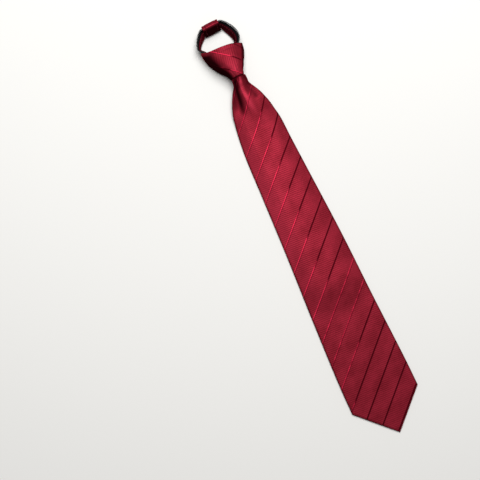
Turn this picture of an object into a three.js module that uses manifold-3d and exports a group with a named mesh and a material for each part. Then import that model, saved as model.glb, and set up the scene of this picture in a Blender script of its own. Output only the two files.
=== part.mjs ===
import * as THREE from 'three';
import { mergeVertices } from 'three/addons/utils/BufferGeometryUtils.js';
import Module from 'manifold-3d';

// A man's ready-tied zipper tie, lying on its back with its front up.
// Millimetres. X runs to the right, Y from the blade's point to the neck loop, Z up from the surface below.

const { degToRad, lerp, smoothstep } = THREE.MathUtils;

// Clearances
const gap = 0.3; // between two pieces that touch on the real tie
const floorGap = 0.5; // under the pieces that don't carry the tie
const zipRoom = 0.5; // between the zip and the blade that lies over it
const sleeveRoom = 0.4; // round the strap inside its sleeve

// Blade
const bladeLength = 428; // from the point to the lower edge of the knot
const bladeWidth = 80; // across its widest place, just behind the point
const pointAngle = 90; // degrees between the two edges of the point
const pointBlunt = 0.5; // half width of its very end
const bladeThickness = 3; // shell cloth and interlining
const bladeEdge = 1.4; // the folded edge, pressed thinner than the middle
const foldHeight = 0.96; // how far the outermost line of the fold stands over the underside
const foldWidth = 1.6; // from the edge to the middle of its rounding
const foldEnd = 2.6; // where the cloth is flat, in fold widths from the edge
const foldShare = 0.06; // most that a fold or the seam takes up of a narrow section
const pleatDepth = 5; // of the deepest gather under the knot
const plugLength = 5; // how far the gathered blade goes up into the knot
const plugWidth = 8.6; // where the knot squeezes it
const tailRamp = 45; // over which the blade rises on to the end of the zip below it
const seamDepth = 0.7; // of the groove where the folded edges meet on the back
const seamWidth = 1.8;

// Knot
const knotHeight = 35; // from its lower edge to the middle of its upper edge
const knotTopWidth = 46.4;
const knotNeckWidth = 15.8; // at its lower edge
const knotDepth = 24.5; // from its back to its crown
const knotWall = 1.4; // satin over its stiffening
const knotShift = 1.9; // how far right of the middle line its lower edge is
const knotHeadroom = 1.6; // free space over the gathered blade inside its lower edge
const backDrop = 9; // how much lower the upper edge is at the back than at the front
const cornerDent = 1.1; // how far the cloth steps down at the right upper corner
const cornerLine = 1.235; // where that step runs, as a share of the height plus a part of the width
const cornerSlant = 0.42; // that part of the width
const cornerStep = 0.04; // how wide the step is, as a share of the height
const dentFront = [0.1, 0.3]; // where the step fades in from the knot's side to its front
const dropBack = [-0.1, 0.6]; // where the upper edge drops, from the knot's side to its back
const bellyShare = 0.42; // height of the knot's widest line, as a share of its depth
const backSquareness = 4; // of the section's lower half, where 2 is an ellipse

// Neck loop and zip
const loopRadius = 24.9; // to the outer side of the coil
const loopSetting = 7; // from the knot's upper edge to the middle of the loop
const loopShift = -1; // where the middle of the loop lies across the tie
const strapWidth = 13.3; // from the coil's outer side to the free edge of the tape
const strapLength = 330; // one side of the zip, from the top of the loop to the end of the tail
const coilRadius = 1;
const tapeThickness = 1;
const satinThickness = 1;
const satinMargin = 3; // bare tape between the coil and the satin
const satinGap = 0.45; // between the tape and the satin on it, where the loop bends sharply too
const neckLength = 58; // below the knot, over which the closed zip flattens out
const endGap = 2.2; // between the two ends inside the sleeve
const loopEnd = 84; // degrees from the top of the loop, where the strap turns towards the knot
const bendShare = 0.25; // of the way there from the sleeve, in which the strap bends most
const bendStart = 1.4; // where the tie's middle line starts to bend to the knot, in neck lengths below it
const spreadGap = 1.3; // between the two coils above the slider, on each side
const spreadLean = 10; // degrees, of the tape at the coil there
const spreadCurl = 105; // degrees that the tape turns by there, up to its free edge
const shelfPlace = 0.85; // share of the knot's height up to which the straps clear its back wall

// Sleeve and slider
const sleeveLength = 19;
const sleeveWall = 1;
const sleeveCorner = 0.385; // cut off its corners, as a share of its wall
const sleeveLift = [1.1, 2.2]; // between which it lets the strap sink again, in its half lengths
const sleeveShift = 1; // how far its middle is to the left of the loop's top
const sleeveSink = 2.6; // how far it flattens the loop, at its middle
const sleevePass = 2.3; // how far the strap runs straight past its end, so that it bends clear of the sleeve
const sliderLength = 9;
const sliderWidth = 6;
const sliderPlate = 0.9;
const sliderPost = 0.6; // radius of the post between the two coils
const postSetting = 1.4; // of the post's middle, in its own radii from the slider's upper end
const sliderNose = 0.6; // narrow end's share of the width, and the tapered part's share of the length
const sliderClearance = 1; // above the gathered end of the blade

// Half widths of the blade, as shares of half its width. `at` runs from the end of the point, 0, to the
// lower edge of the knot, 1. The edges stand at a share, lift, of the height that the middle is lifted to.
const bladeRows = [
  { at: 0.0, left: 0.99, right: 0.99, lift: 0 },
  { at: 0.07, left: 0.985, right: 0.98, lift: 0 },
  { at: 0.28, left: 0.9, right: 0.905, lift: 0 },
  { at: 0.48, left: 0.795, right: 0.85, lift: 0 },
  { at: 0.68, left: 0.715, right: 0.75, lift: 0 },
  { at: 0.79, left: 0.672, right: 0.695, lift: 0 },
  { at: 0.85, left: 0.612, right: 0.67, lift: 0.15 },
  { at: 0.886, left: 0.556, right: 0.61, lift: 0.35 },
  { at: 0.904, left: 0.522, right: 0.575, lift: 0.5 },
  { at: 0.92, left: 0.472, right: 0.525, lift: 0.6 },
  { at: 0.937, left: 0.404, right: 0.466, lift: 0.66 },
  { at: 0.954, left: 0.322, right: 0.385, lift: 0.7 },
  { at: 0.965, left: 0.262, right: 0.322, lift: 0.76 },
  { at: 0.976, left: 0.185, right: 0.27, lift: 0.85 },
  { at: 0.985, left: 0.155, right: 0.272, lift: 0.9 },
  { at: 1.0, left: 0.145, right: 0.262, lift: 0.94 },
];

// The two valleys beside the pleat. Each lies at a share of the half width on its side, and its dip is a
// share of the pleat's depth.
const pleatRows = [
  { at: 0.0, left: 0.5, dipLeft: 0, right: 0.5, dipRight: 0 },
  { at: 0.79, left: 0.5, dipLeft: 0, right: 0.5, dipRight: 0 },
  { at: 0.85, left: 0.52, dipLeft: 0, right: 0.5, dipRight: 0 },
  { at: 0.886, left: 0.52, dipLeft: 0.12, right: 0.5, dipRight: 0 },
  { at: 0.904, left: 0.52, dipLeft: 0.4, right: 0.5, dipRight: 0.06 },
  { at: 0.92, left: 0.52, dipLeft: 0.8, right: 0.46, dipRight: 0.18 },
  { at: 0.937, left: 0.53, dipLeft: 1, right: 0.45, dipRight: 0.36 },
  { at: 0.954, left: 0.54, dipLeft: 1, right: 0.46, dipRight: 0.52 },
  { at: 0.965, left: 0.56, dipLeft: 0.9, right: 0.5, dipRight: 0.56 },
  { at: 0.976, left: 0.6, dipLeft: 0.6, right: 0.56, dipRight: 0.5 },
  { at: 0.985, left: 0.62, dipLeft: 0.4, right: 0.6, dipRight: 0.44 },
  { at: 1.0, left: 0.62, dipLeft: 0.2, right: 0.6, dipRight: 0.3 },
];

// The knot from its lower edge, 0, to its upper edge, 1. Spread goes from the half width of the neck to that
// of the top, drift from the neck's place across to the loop's, and swell from the depth of the neck to that
// of the knot.
const knotRows = [
  { at: 0.0, spread: 0, drift: 0, swell: 0, bluntness: 2.7 },
  { at: 0.12, spread: 0.08, drift: 0.1, swell: 0.3, bluntness: 2.6 },
  { at: 0.25, spread: 0.215, drift: 0.31, swell: 0.55, bluntness: 2.4 },
  { at: 0.4, spread: 0.43, drift: 0.67, swell: 0.82, bluntness: 2.25 },
  { at: 0.6, spread: 0.655, drift: 0.95, swell: 1, bluntness: 2.15 },
  { at: 0.8, spread: 0.86, drift: 1.04, swell: 0.95, bluntness: 2.1 },
  { at: 1.0, spread: 1, drift: 1, swell: 0.62, bluntness: 2.1 },
];

// The knot's upper edge across the front, from the left corner, -1, to the right one, 1: its rise as a share
// of the knot's height.
const knotMouth = [
  { at: -1.0, rise: 0.12 },
  { at: -0.8, rise: 0.05 },
  { at: -0.6, rise: 0.025 },
  { at: 0.0, rise: 0 },
  { at: 0.55, rise: -0.035 },
  { at: 0.78, rise: -0.08 },
  { at: 1.0, rise: -0.1 },
];

// How far the strap leans out from upright, in degrees, by the turn from the top of the loop.
const loopLean = [
  { at: 0, left: 25, right: 25 },
  { at: 16, left: 25, right: 25 },
  { at: 32, left: 25, right: 25 },
  { at: 41, left: 27, right: 31 },
  { at: 50, left: 27, right: 37 },
  { at: 65, left: 18, right: 39 },
  { at: 80, left: 8, right: 38 },
  { at: 95, left: 3, right: 31 },
];

// The straps from just above the knot down into it. Left and right are shares of the free half width there,
// lean is the tape's angle at the coil, 90 when upright, and curl what it turns by up to its free edge.
const knotPath = [
  { at: 1.08, left: 0.9, right: 1.1, leanLeft: 94, leanRight: 116, curl: 0 },
  { at: 0.92, left: 0.86, right: 0.94, leanLeft: 93, leanRight: 104, curl: 0 },
  { at: 0.77, left: 0.66, right: 0.74, leanLeft: 84, leanRight: 88, curl: 10 },
  { at: 0.61, left: 0.5, right: 0.5, leanLeft: 56, leanRight: 58, curl: 46 },
];

// The closed zip below the slider, by its way down from the knot's lower edge as a share of neckLength.
const zipRows = [
  { at: -0.2, lean: 4, curl: 120 },
  { at: -0.1, lean: 0, curl: 125 },
  { at: 0.0, lean: 30, curl: 100 },
  { at: 0.1, lean: 24, curl: 92 },
  { at: 0.2, lean: 15, curl: 75 },
  { at: 0.31, lean: 10, curl: 60 },
  { at: 0.48, lean: 5, curl: 40 },
  { at: 0.66, lean: 0, curl: 25 },
  { at: 0.83, lean: 0, curl: 8 },
  { at: 1.0, lean: 0, curl: 0 },
];

// Lengths that follow from the sizes above
const pointLength = bladeWidth / 2 / Math.tan(degToRad(pointAngle / 2));
const knotBase = bladeLength;
const knotTop = knotBase + knotHeight;
const loopY = knotTop + loopSetting;
const spineRadius = loopRadius - coilRadius;
const coilSide = coilRadius + gap / 2;
const sliderPlace = plugLength + sliderClearance;
const sleeveMiddle = -sleeveShift / spineRadius; // as a turn from the loop's top, in radians
const sleeveLine = spineRadius - sleeveSink; // from the middle of the loop to the coils inside the sleeve
const sleeveReach = Math.atan(sleeveLength / 2 / sleeveLine);
const sleeveTurn = Math.atan((sleeveLength / 2 + sleevePass) / sleeveLine);
const tapeStart = coilRadius + gap;
const tapeReach = strapWidth - coilRadius;
const satinStart = coilRadius + satinMargin;
const satinUpper = -tapeThickness / 2 - satinGap;
const satinLower = satinUpper - satinThickness;

// Reads a table anywhere between its rows, each column on a smooth curve through them.
function readTable(rows) {
  const names = Object.keys(rows[0]).filter((name) => name !== 'at');
  const places = rows.map((row) => row.at);
  const values = rows.flatMap((row) => names.map((name) => row[name]));
  const curve = new THREE.CubicInterpolant(places, values, names.length);
  return (at) => {
    const found = curve.evaluate(at);
    return Object.fromEntries(names.map((name, k) => [name, found[k]]));
  };
}

const bladeAt = readTable(bladeRows);
const pleatAt = readTable(pleatRows);
const knotAt = readTable(knotRows);
const mouthAt = readTable(knotMouth);
const leanAt = readTable(loopLean);
const zipAt = readTable(zipRows);

// Solids from rings

// Six times the volume inside a closed set of triangles, positive when they face out.
function signedVolume(points, faces) {
  let sum = 0;
  for (let k = 0; k < faces.length; k += 3) {
    const [a, b, c] = [points[faces[k]], points[faces[k + 1]], points[faces[k + 2]]];
    sum += a.dot(new THREE.Vector3().crossVectors(b, c));
  }
  return sum;
}

// Joins rings of equal length into one closed body. With `hollow` the last ring meets the first one again,
// as on a sleeve, and otherwise both ends are closed by strips across the ring.
function solidFromRings(rings, hollow = false) {
  const size = rings[0].length;
  const points = rings.flat();
  const faces = [];
  const addQuad = (a, b, c, d) => faces.push(a, b, c, a, c, d);
  const spans = hollow ? rings.length : rings.length - 1;
  for (let i = 0; i < spans; i += 1) {
    const here = i * size;
    const next = ((i + 1) % rings.length) * size;
    for (let j = 0; j < size; j += 1) {
      const k = (j + 1) % size;
      addQuad(here + j, here + k, next + k, next + j);
    }
  }
  if (!hollow) {
    const last = (rings.length - 1) * size;
    for (let j = 0; j < size / 2 - 1; j += 1) {
      addQuad(size - 1 - j, size - 2 - j, j + 1, j);
      addQuad(last + j, last + j + 1, last + size - 2 - j, last + size - 1 - j);
    }
  }
  if (signedVolume(points, faces) < 0) {
    faces.reverse();
  }
  const geometry = new THREE.BufferGeometry().setFromPoints(points);
  geometry.setIndex(faces);
  geometry.computeVertexNormals();
  return geometry;
}

// Numbers from first to last in equal steps, both ends included.
function spread(first, last, steps) {
  return Array.from({ length: steps + 1 }, (_, k) => lerp(first, last, k / steps));
}

// The strap's section

// A point of the section, out from the coil's middle and down from it. Run counts along the tape and off
// square to it, towards the side that faces out of the loop and up under the blade.
function sectionPoint(station, run, off) {
  const curl = degToRad(station.curl) * (run / tapeReach);
  const lean = degToRad(station.lean);
  const chord = curl === 0 ? run : (run * Math.sin(curl / 2)) / (curl / 2);
  const angle = lean + curl;
  return {
    out: chord * Math.cos(lean + curl / 2) + off * Math.sin(angle),
    up: -chord * Math.sin(lean + curl / 2) + off * Math.cos(angle),
  };
}

// How far the strap reaches below the coil's middle.
function reachBelow(station) {
  const runs = spread(tapeStart, tapeReach, 6);
  const ends = runs.flatMap((run) => [
    sectionPoint(station, run, satinLower).up,
    sectionPoint(station, run, tapeThickness / 2).up,
  ]);
  return -Math.min(-coilRadius, ...ends);
}

// Sides of the sleeve's section, inside it, measured as run and off
const sleeveSides = {
  near: -coilRadius - sleeveRoom,
  far: tapeReach + sleeveRoom,
  inner: satinLower - sleeveRoom,
  outer: coilRadius + sleeveRoom,
};

// The sleeve's section as corner points, grown by `extra`, with its corners cut.
function sleeveCorners(extra) {
  const near = sleeveSides.near - extra;
  const far = sleeveSides.far + extra;
  const inner = sleeveSides.inner - extra;
  const outer = sleeveSides.outer + extra;
  const cut = sleeveCorner * (sleeveWall + extra);
  return [
    [near + cut, inner],
    [far - cut, inner],
    [far, inner + cut],
    [far, outer - cut],
    [far - cut, outer],
    [near + cut, outer],
    [near, outer - cut],
    [near, inner + cut],
  ];
}

// The middle line of the tie, across, at a place along it.
function middleLine(y) {
  const share = (y - knotBase) / knotHeight;
  if (share < 0) {
    return knotShift * smoothstep(y, knotBase - bendStart * neckLength, knotBase);
  }
  return lerp(knotShift, loopShift, knotAt(Math.min(share, 1)).drift);
}

// The knot's shape

// Height of the coil's middle inside the knot, over the knot's back wall.
const zipHeight = knotWall + floorGap + reachBelow(zipAt(0));
const plugBase = zipHeight + coilRadius + zipRoom;
const knotNeckDepth = plugBase + bladeThickness + gap + knotHeadroom + knotWall;

// The knot's section at a share of its height.
function knotSection(share) {
  const row = knotAt(share);
  const crown = lerp(knotNeckDepth, knotDepth, row.swell);
  return {
    half: lerp(knotNeckWidth, knotTopWidth, row.spread) / 2,
    middle: lerp(knotShift, loopShift, row.drift),
    crown,
    belly: bellyShare * crown,
    bluntness: row.bluntness,
  };
}

// A point on the knot: share up it, angle round it from the right-hand side over the front, and inset from
// its outer face.
function knotPoint(share, angle, inset) {
  const part = knotSection(share);
  const across = Math.cos(angle);
  const rise = Math.sin(angle);
  const blunt = rise < 0 ? backSquareness : part.bluntness;
  const side = Math.sign(across) * Math.abs(across) ** (2 / blunt);
  const lift = Math.abs(rise) ** (2 / blunt);
  const x = part.middle + (part.half - inset) * side;
  const toFront = part.crown - part.belly - inset;
  const toBack = part.belly - inset;
  const corner = smoothstep(share + cornerSlant * side, cornerLine, cornerLine + cornerStep);
  const dent = cornerDent * corner * smoothstep(rise, ...dentFront);
  const z = part.belly + (rise < 0 ? -toBack : toFront) * lift - dent;
  const drop = backDrop * smoothstep(-rise, ...dropBack);
  const height = knotHeight * (1 + mouthAt(side).rise) - drop;
  return new THREE.Vector3(x, knotBase + share * height, z);
}

function makeKnot() {
  const rows = [0, 0.05, 0.12, 0.2, 0.29, 0.38, 0.47, 0.56, 0.65, 0.74, 0.82, 0.89, 0.95, 1];
  const columns = 36;
  const ring = (share, inset) =>
    spread(0, 2 * Math.PI, columns)
      .slice(0, -1)
      .map((angle) => knotPoint(share, angle, inset));
  const outside = rows.map((share) => ring(share, 0));
  const inside = rows.map((share) => ring(share, knotWall)).reverse();
  return solidFromRings([...outside, ...inside], true);
}

// The zip's path

// Height of the coil's middle on the strap at a turn round the loop, where the sleeve lifts it too.
function loopHeight(station, turn) {
  const free = floorGap + reachBelow(station);
  const corners = sleeveCorners(sleeveWall).map(([run, off]) => sectionPoint(station, run, off).up);
  const sleeved = -Math.min(...corners);
  const away = Math.abs(degToRad(turn) - sleeveMiddle);
  const share = smoothstep(away / sleeveReach, ...sleeveLift);
  return lerp(sleeved, free, share);
}

// From the middle of the loop to the coil. The sleeve holds the strap straight, and past it comes an arc.
function loopReach(angle) {
  const away = Math.abs(angle - sleeveMiddle);
  const straight = sleeveLine / Math.cos(Math.min(away, sleeveTurn));
  return lerp(straight, spineRadius, smoothstep(away, sleeveTurn, 2 * sleeveTurn));
}

// The strap round the loop. Turn is in degrees from the loop's top, negative to the left.
function loopStation(turn) {
  const row = leanAt(Math.abs(turn));
  const angle = degToRad(turn);
  const station = { lean: 90 + (turn < 0 ? row.left : row.right), curl: 0 };
  station.x = loopShift + loopReach(angle) * Math.sin(angle);
  station.y = loopY + loopReach(angle) * Math.cos(angle);
  station.z = loopHeight(station, turn);
  return station;
}

// The strap inside the knot, above the slider.
function knotStation(row, side) {
  const part = knotSection(Math.min(row.at, 1));
  const free = part.half - knotWall - gap - coilRadius;
  const floor = row.at > shelfPlace ? floorGap : floorGap + knotWall;
  const turned = { lean: side < 0 ? row.leanLeft : row.leanRight, curl: row.curl };
  return {
    x: part.middle + side * free * (side < 0 ? row.left : row.right),
    y: knotBase + row.at * knotHeight,
    z: Math.max(zipHeight, floor + reachBelow(turned)),
    ...turned,
  };
}

// The closed zip at a place along the tie, from the slider to the end of the tail.
function zipStation(y, side) {
  const below = (knotBase - y) / neckLength;
  const row = zipAt(below);
  const floor = lerp(floorGap + knotWall, floorGap, smoothstep(below, 0, 0.1));
  const z = below < 0 ? zipHeight : floor + reachBelow(row);
  return { x: middleLine(y) + side * coilSide, y, z, ...row };
}

// All stations of one strap down to the flat part of the tail.
function upperStations(side) {
  const firstTurn = THREE.MathUtils.radToDeg(endGap / 2 / spineRadius);
  const sleeveEnd = THREE.MathUtils.radToDeg(sleeveTurn + side * sleeveMiddle);
  const bend = lerp(sleeveEnd, loopEnd, bendShare);
  const turns = [
    ...spread(firstTurn, sleeveEnd, 4),
    ...spread(sleeveEnd, bend, 4).slice(1),
    ...spread(bend, loopEnd, 7).slice(1),
  ];
  const sliderTop = knotBase + sliderPlace + sliderLength;
  const spreading = zipStation(sliderTop, side);
  spreading.x += side * spreadGap;
  spreading.lean = spreadLean;
  spreading.curl = spreadCurl;
  const places = [
    knotBase + sliderPlace + sliderLength / 2,
    knotBase + sliderPlace,
    ...zipRows.filter((row) => row.at >= 0).map((row) => knotBase - row.at * neckLength),
  ];
  return [
    ...turns.map((turn) => loopStation(side * turn)),
    ...knotPath.map((row) => knotStation(row, side)),
    spreading,
    ...places.map((y) => zipStation(y, side)),
  ];
}

const pointOf = (station) => new THREE.Vector3(station.x, station.y, station.z);

function lengthOf(stations) {
  const points = stations.map(pointOf);
  return points.slice(1).reduce((sum, point, k) => sum + point.distanceTo(points[k]), 0);
}

const tailEnd = knotBase - neckLength - (strapLength - lengthOf(upperStations(-1)));
const zipFlatTop = zipStation(knotBase - neckLength, 1).z + coilRadius;

// Stations close enough together for a smooth strap, each with its direction out from the middle.
function strapStations(side) {
  const curledPart = 0.7; // of the neck length, in which the strap curls and has twice as many stations
  const nearby = 0.05;
  const stations = [...upperStations(side), zipStation(lerp(knotBase - neckLength, tailEnd, 0.5), side)];
  stations.push(zipStation(tailEnd, side));
  let way = 0;
  const rows = stations.map((station, k) => {
    way += k === 0 ? 0 : pointOf(station).distanceTo(pointOf(stations[k - 1]));
    return { at: way, ...station };
  });
  const stationAt = readTable(rows);
  const places = rows.slice(1).flatMap((row, k) => {
    const curled = row.y < loopY + coilRadius && row.y > knotBase - curledPart * neckLength;
    const steps = curled ? 2 : 1;
    return spread(rows[k].at, row.at, steps).slice(0, -1);
  });
  return [...places, way].map((at) => {
    const station = stationAt(at);
    const before = stationAt(Math.max(at - nearby, 0));
    const after = stationAt(Math.min(at + nearby, way));
    const along = new THREE.Vector2(after.x - before.x, after.y - before.y).normalize();
    station.out = new THREE.Vector2(side * -along.y, side * along.x);
    return station;
  });
}

// A point of the strap in space.
function strapPoint(station, run, off) {
  const { out, up } = sectionPoint(station, run, off);
  return new THREE.Vector3(station.x + station.out.x * out, station.y + station.out.y * out, station.z + up);
}

// A strip of the strap between two runs and two offsets.
function makeStrip(stations, firstRun, lastRun, first, second, steps) {
  const runs = spread(firstRun, lastRun, steps);
  const rings = stations.map((station) => [
    ...runs.map((run) => strapPoint(station, run, first)),
    ...runs.map((run) => strapPoint(station, run, second)).reverse(),
  ]);
  return solidFromRings(rings);
}

function makeCoil(stations) {
  const sides = 6;
  const start = Math.PI / sides;
  const angles = spread(start, start + 2 * Math.PI, sides).slice(0, -1);
  const rings = stations.map((station) =>
    angles.map((angle) => {
      const out = station.out.clone().multiplyScalar(coilRadius * Math.cos(angle));
      const up = coilRadius * Math.sin(angle);
      return new THREE.Vector3(station.x + out.x, station.y + out.y, station.z + up);
    }),
  );
  return solidFromRings(rings);
}

// The sleeve is straight, square to the line from the middle of the loop to its own middle.
function makeSleeve() {
  const turns = spread(sleeveMiddle - sleeveReach, sleeveMiddle + sleeveReach, 8);
  const out = new THREE.Vector2(Math.sin(sleeveMiddle), Math.cos(sleeveMiddle));
  const ring = (turn, extra) => {
    const station = { ...loopStation(THREE.MathUtils.radToDeg(turn)), out };
    return sleeveCorners(extra).map(([run, off]) => strapPoint(station, run, off));
  };
  const outside = turns.map((turn) => ring(turn, sleeveWall));
  const inside = turns.map((turn) => ring(turn, 0)).reverse();
  return solidFromRings([...outside, ...inside], true);
}

// Blade

// Top of the closed zip under the blade, at a place across and along the tie.
function zipCover(x, y) {
  if (y < tailEnd - gap) {
    return -Infinity;
  }
  const station = zipStation(y, 1);
  const away = Math.abs(x - middleLine(y)) - coilSide;
  const tape = spread(0, tapeReach, 16).map((run) => sectionPoint(station, run, tapeThickness / 2));
  const beside = tape.filter((point, k) => k > 0 && point.out > away && tape[k - 1].out <= away);
  const coil = away < coilRadius + gap ? coilRadius : -Infinity;
  const reached = Math.max(coil, ...beside.map((point) => tape[tape.indexOf(point) - 1].up));
  return station.z + reached;
}

// Height that the blade's middle is lifted to, by the zip below it.
function middleLift(y) {
  const fade = smoothstep(y, tailEnd - tailRamp, tailEnd - 1);
  const top = y < knotBase - neckLength ? zipFlatTop : zipStation(Math.min(y, knotBase), 1).z + coilRadius;
  return (top + zipRoom) * fade;
}

// One section of the blade: its two edges and its underside from left to right.
function bladeSection(y) {
  const at = Math.max(0, (y - pointLength) / (bladeLength - pointLength));
  const row = bladeAt(Math.min(at, 1));
  const pleat = pleatAt(Math.min(at, 1));
  const half = bladeWidth / 2;
  const pointed = y * Math.tan(degToRad(pointAngle / 2)) + pointBlunt;
  const middle = middleLine(y);
  const left = -Math.min(pointed, half * row.left);
  const right = Math.min(pointed, half * row.right);
  const ridge = middleLift(y);
  const profile = readTable([
    { at: left, height: ridge * row.lift },
    { at: lerp(middle, left, pleat.left), height: ridge - pleatDepth * pleat.dipLeft },
    { at: middle, height: ridge },
    { at: lerp(middle, right, pleat.right), height: ridge - pleatDepth * pleat.dipRight },
    { at: right, height: ridge * row.lift },
  ]);
  const under = (x) => Math.max(0, profile(x).height, zipCover(x, y) + zipRoom);
  return { left, right, middle, under };
}

// The gathered end of the blade inside the knot.
function plugSection(y) {
  const middle = middleLine(Math.min(y, knotBase + plugLength));
  const under = () => plugBase;
  return { left: middle - plugWidth / 2, right: middle + plugWidth / 2, middle, under };
}

// A ring round the blade: over the front from left to right and back along the underside.
function bladeRing(y, section) {
  const { left, right, middle, under } = section;
  const room = foldShare * (right - left);
  const hem = Math.min(foldWidth, room);
  const seam = Math.min(seamWidth / 2, room);
  const flat = foldEnd * hem;
  const across = [
    left,
    left + hem,
    ...spread(left + flat, middle - seam, 6),
    middle,
    ...spread(middle + seam, right - flat, 6),
    right - hem,
    right,
  ];
  const cover = across.map((x) => {
    const inwards = Math.min(x - left, right - x) / flat;
    const rounding = Math.sqrt(1 - (1 - Math.min(inwards, 1)) ** 2);
    return new THREE.Vector3(x, y, under(x) + lerp(foldHeight + bladeEdge, bladeThickness, rounding));
  });
  const back = across.map((x) => {
    const lift = x === left || x === right ? foldHeight : 0;
    const groove = x === middle ? seamDepth : 0;
    return new THREE.Vector3(x, y, under(x) + lift + groove);
  });
  return [...cover, ...back.reverse()];
}

function makeBlade() {
  // Sections lie closer together where the cloth gathers under the knot.
  const knotEdge = knotBase - gap;
  const gathers = 0.8 * neckLength;
  const flat = knotBase - 1.45 * neckLength;
  const places = [
    ...spread(0, pointLength, 4),
    ...spread(pointLength + 2, tailEnd - tailRamp, 4),
    ...spread(tailEnd - 0.8 * tailRamp, tailEnd, 4),
    ...spread(tailEnd + 15, flat, 6),
    ...spread(flat + 8, knotBase - gathers, 4),
    ...spread(knotBase - gathers + 4, knotBase - 4, 13),
    knotEdge - 1.6,
  ];
  const rings = places.map((y) => bladeRing(y, bladeSection(y)));
  for (const y of [knotEdge, knotBase + plugLength / 2, knotBase + plugLength]) {
    rings.push(bladeRing(y, plugSection(y)));
  }
  return solidFromRings(rings);
}

// Slider: two plates, over and under the coils, joined by a post between the two coils
const wasm = await Module();
wasm.setup();

function toManifold(geometry) {
  const bare = geometry.clone();
  bare.deleteAttribute('normal');
  bare.deleteAttribute('uv');
  const merged = mergeVertices(bare, 1e-4);
  const mesh = new wasm.Mesh({
    numProp: 3,
    vertProperties: new Float32Array(merged.attributes.position.array),
    triVerts: new Uint32Array(merged.index.array),
  });
  return new wasm.Manifold(mesh);
}

function fromManifold(solid) {
  const mesh = solid.getMesh();
  const geometry = new THREE.BufferGeometry();
  geometry.setAttribute('position', new THREE.BufferAttribute(mesh.vertProperties, 3));
  geometry.setIndex(new THREE.BufferAttribute(mesh.triVerts, 1));
  geometry.computeVertexNormals();
  return geometry;
}

function makeSliderPlate(base) {
  const half = sliderWidth / 2;
  const nose = sliderNose * half;
  const roundStart = sliderNose * sliderLength;
  const outline = new THREE.Shape();
  outline.moveTo(-nose, 0);
  outline.lineTo(nose, 0);
  outline.lineTo(half, roundStart);
  outline.absarc(0, roundStart, half, 0, Math.PI, false);
  outline.lineTo(-nose, 0);
  const plate = new THREE.ExtrudeGeometry(outline, {
    depth: sliderPlate,
    bevelEnabled: false,
    curveSegments: 12,
  });
  const start = knotBase + sliderPlace;
  plate.translate(middleLine(start + sliderLength / 2), start, base);
  return plate;
}

function makeSlider() {
  const reach = coilRadius + gap;
  const upper = toManifold(makeSliderPlate(zipHeight + reach));
  const lower = toManifold(makeSliderPlate(zipHeight - reach - sliderPlate));
  const post = new THREE.CylinderGeometry(sliderPost, sliderPost, 2 * reach + sliderPlate, 12);
  post.rotateX(Math.PI / 2);
  const postPlace = knotBase + sliderPlace + sliderLength - postSetting * sliderPost;
  post.translate(middleLine(postPlace), postPlace, zipHeight);
  return fromManifold(upper.add(lower).add(toManifold(post)));
}

// Colours and finishes
const satin = new THREE.MeshStandardMaterial({ color: 0x8e1428, roughness: 0.42, metalness: 0 });
const darkSatin = new THREE.MeshStandardMaterial({ color: 0x6d1020, roughness: 0.5, metalness: 0 });
const tape = new THREE.MeshStandardMaterial({ color: 0x141214, roughness: 0.85, metalness: 0 });
const teeth = new THREE.MeshStandardMaterial({ color: 0x1b191b, roughness: 0.4, metalness: 0 });
const painted = new THREE.MeshStandardMaterial({ color: 0x202022, roughness: 0.35, metalness: 0.6 });

const group = new THREE.Group();

function addPiece(name, geometry, material) {
  const mesh = new THREE.Mesh(geometry, material);
  mesh.name = name;
  group.add(mesh);
}

addPiece('blade', makeBlade(), satin);
addPiece('knot', makeKnot(), satin);
for (const [label, side] of [['left', -1], ['right', 1]]) {
  const stations = strapStations(side);
  const half = tapeThickness / 2;
  addPiece(`zip_tape_${label}`, makeStrip(stations, tapeStart, tapeReach, half, -half, 6), tape);
  addPiece(
    `satin_strip_${label}`,
    makeStrip(stations, satinStart, tapeReach, satinLower, satinUpper, 5),
    darkSatin,
  );
  addPiece(`zip_coil_${label}`, makeCoil(stations), teeth);
}
addPiece('end_sleeve', makeSleeve(), satin);
addPiece('zip_slider', makeSlider(), painted);

// The origin is in the middle of the tie's outline, on the surface below it.
const bounds = new THREE.Box3().setFromObject(group);
const centre = bounds.getCenter(new THREE.Vector3());
group.position.set(-centre.x, -centre.y, -bounds.min.z);

export default group;
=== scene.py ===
# A man's ready-tied zipper tie, lying on its back: a folded satin blade with fine diagonal stripes, a hollow
# satin knot, and a neck loop of black zip tape faced with satin, whose closed zip runs on behind the blade.
import math
from functools import partial, reduce

import bmesh
import bpy
import numpy as np
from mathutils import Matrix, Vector


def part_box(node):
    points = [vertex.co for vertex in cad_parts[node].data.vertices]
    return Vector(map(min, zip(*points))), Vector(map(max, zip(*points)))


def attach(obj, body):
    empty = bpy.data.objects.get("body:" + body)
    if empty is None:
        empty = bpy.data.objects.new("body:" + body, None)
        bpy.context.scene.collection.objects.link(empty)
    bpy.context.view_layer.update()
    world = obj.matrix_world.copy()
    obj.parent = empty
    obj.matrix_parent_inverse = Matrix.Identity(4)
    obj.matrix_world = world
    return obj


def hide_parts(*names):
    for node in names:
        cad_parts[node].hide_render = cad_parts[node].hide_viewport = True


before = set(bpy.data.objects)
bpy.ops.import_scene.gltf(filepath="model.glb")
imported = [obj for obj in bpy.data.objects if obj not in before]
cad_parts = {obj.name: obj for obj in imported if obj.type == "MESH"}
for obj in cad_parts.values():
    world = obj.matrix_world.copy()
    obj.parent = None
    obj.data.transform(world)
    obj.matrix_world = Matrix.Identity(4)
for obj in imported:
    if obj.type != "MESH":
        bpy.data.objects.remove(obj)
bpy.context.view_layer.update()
mm = 0.001
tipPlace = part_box("blade")[0].y  # the blade's point, where every length below is counted from
print("frame loaded")


# Small helpers

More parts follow.
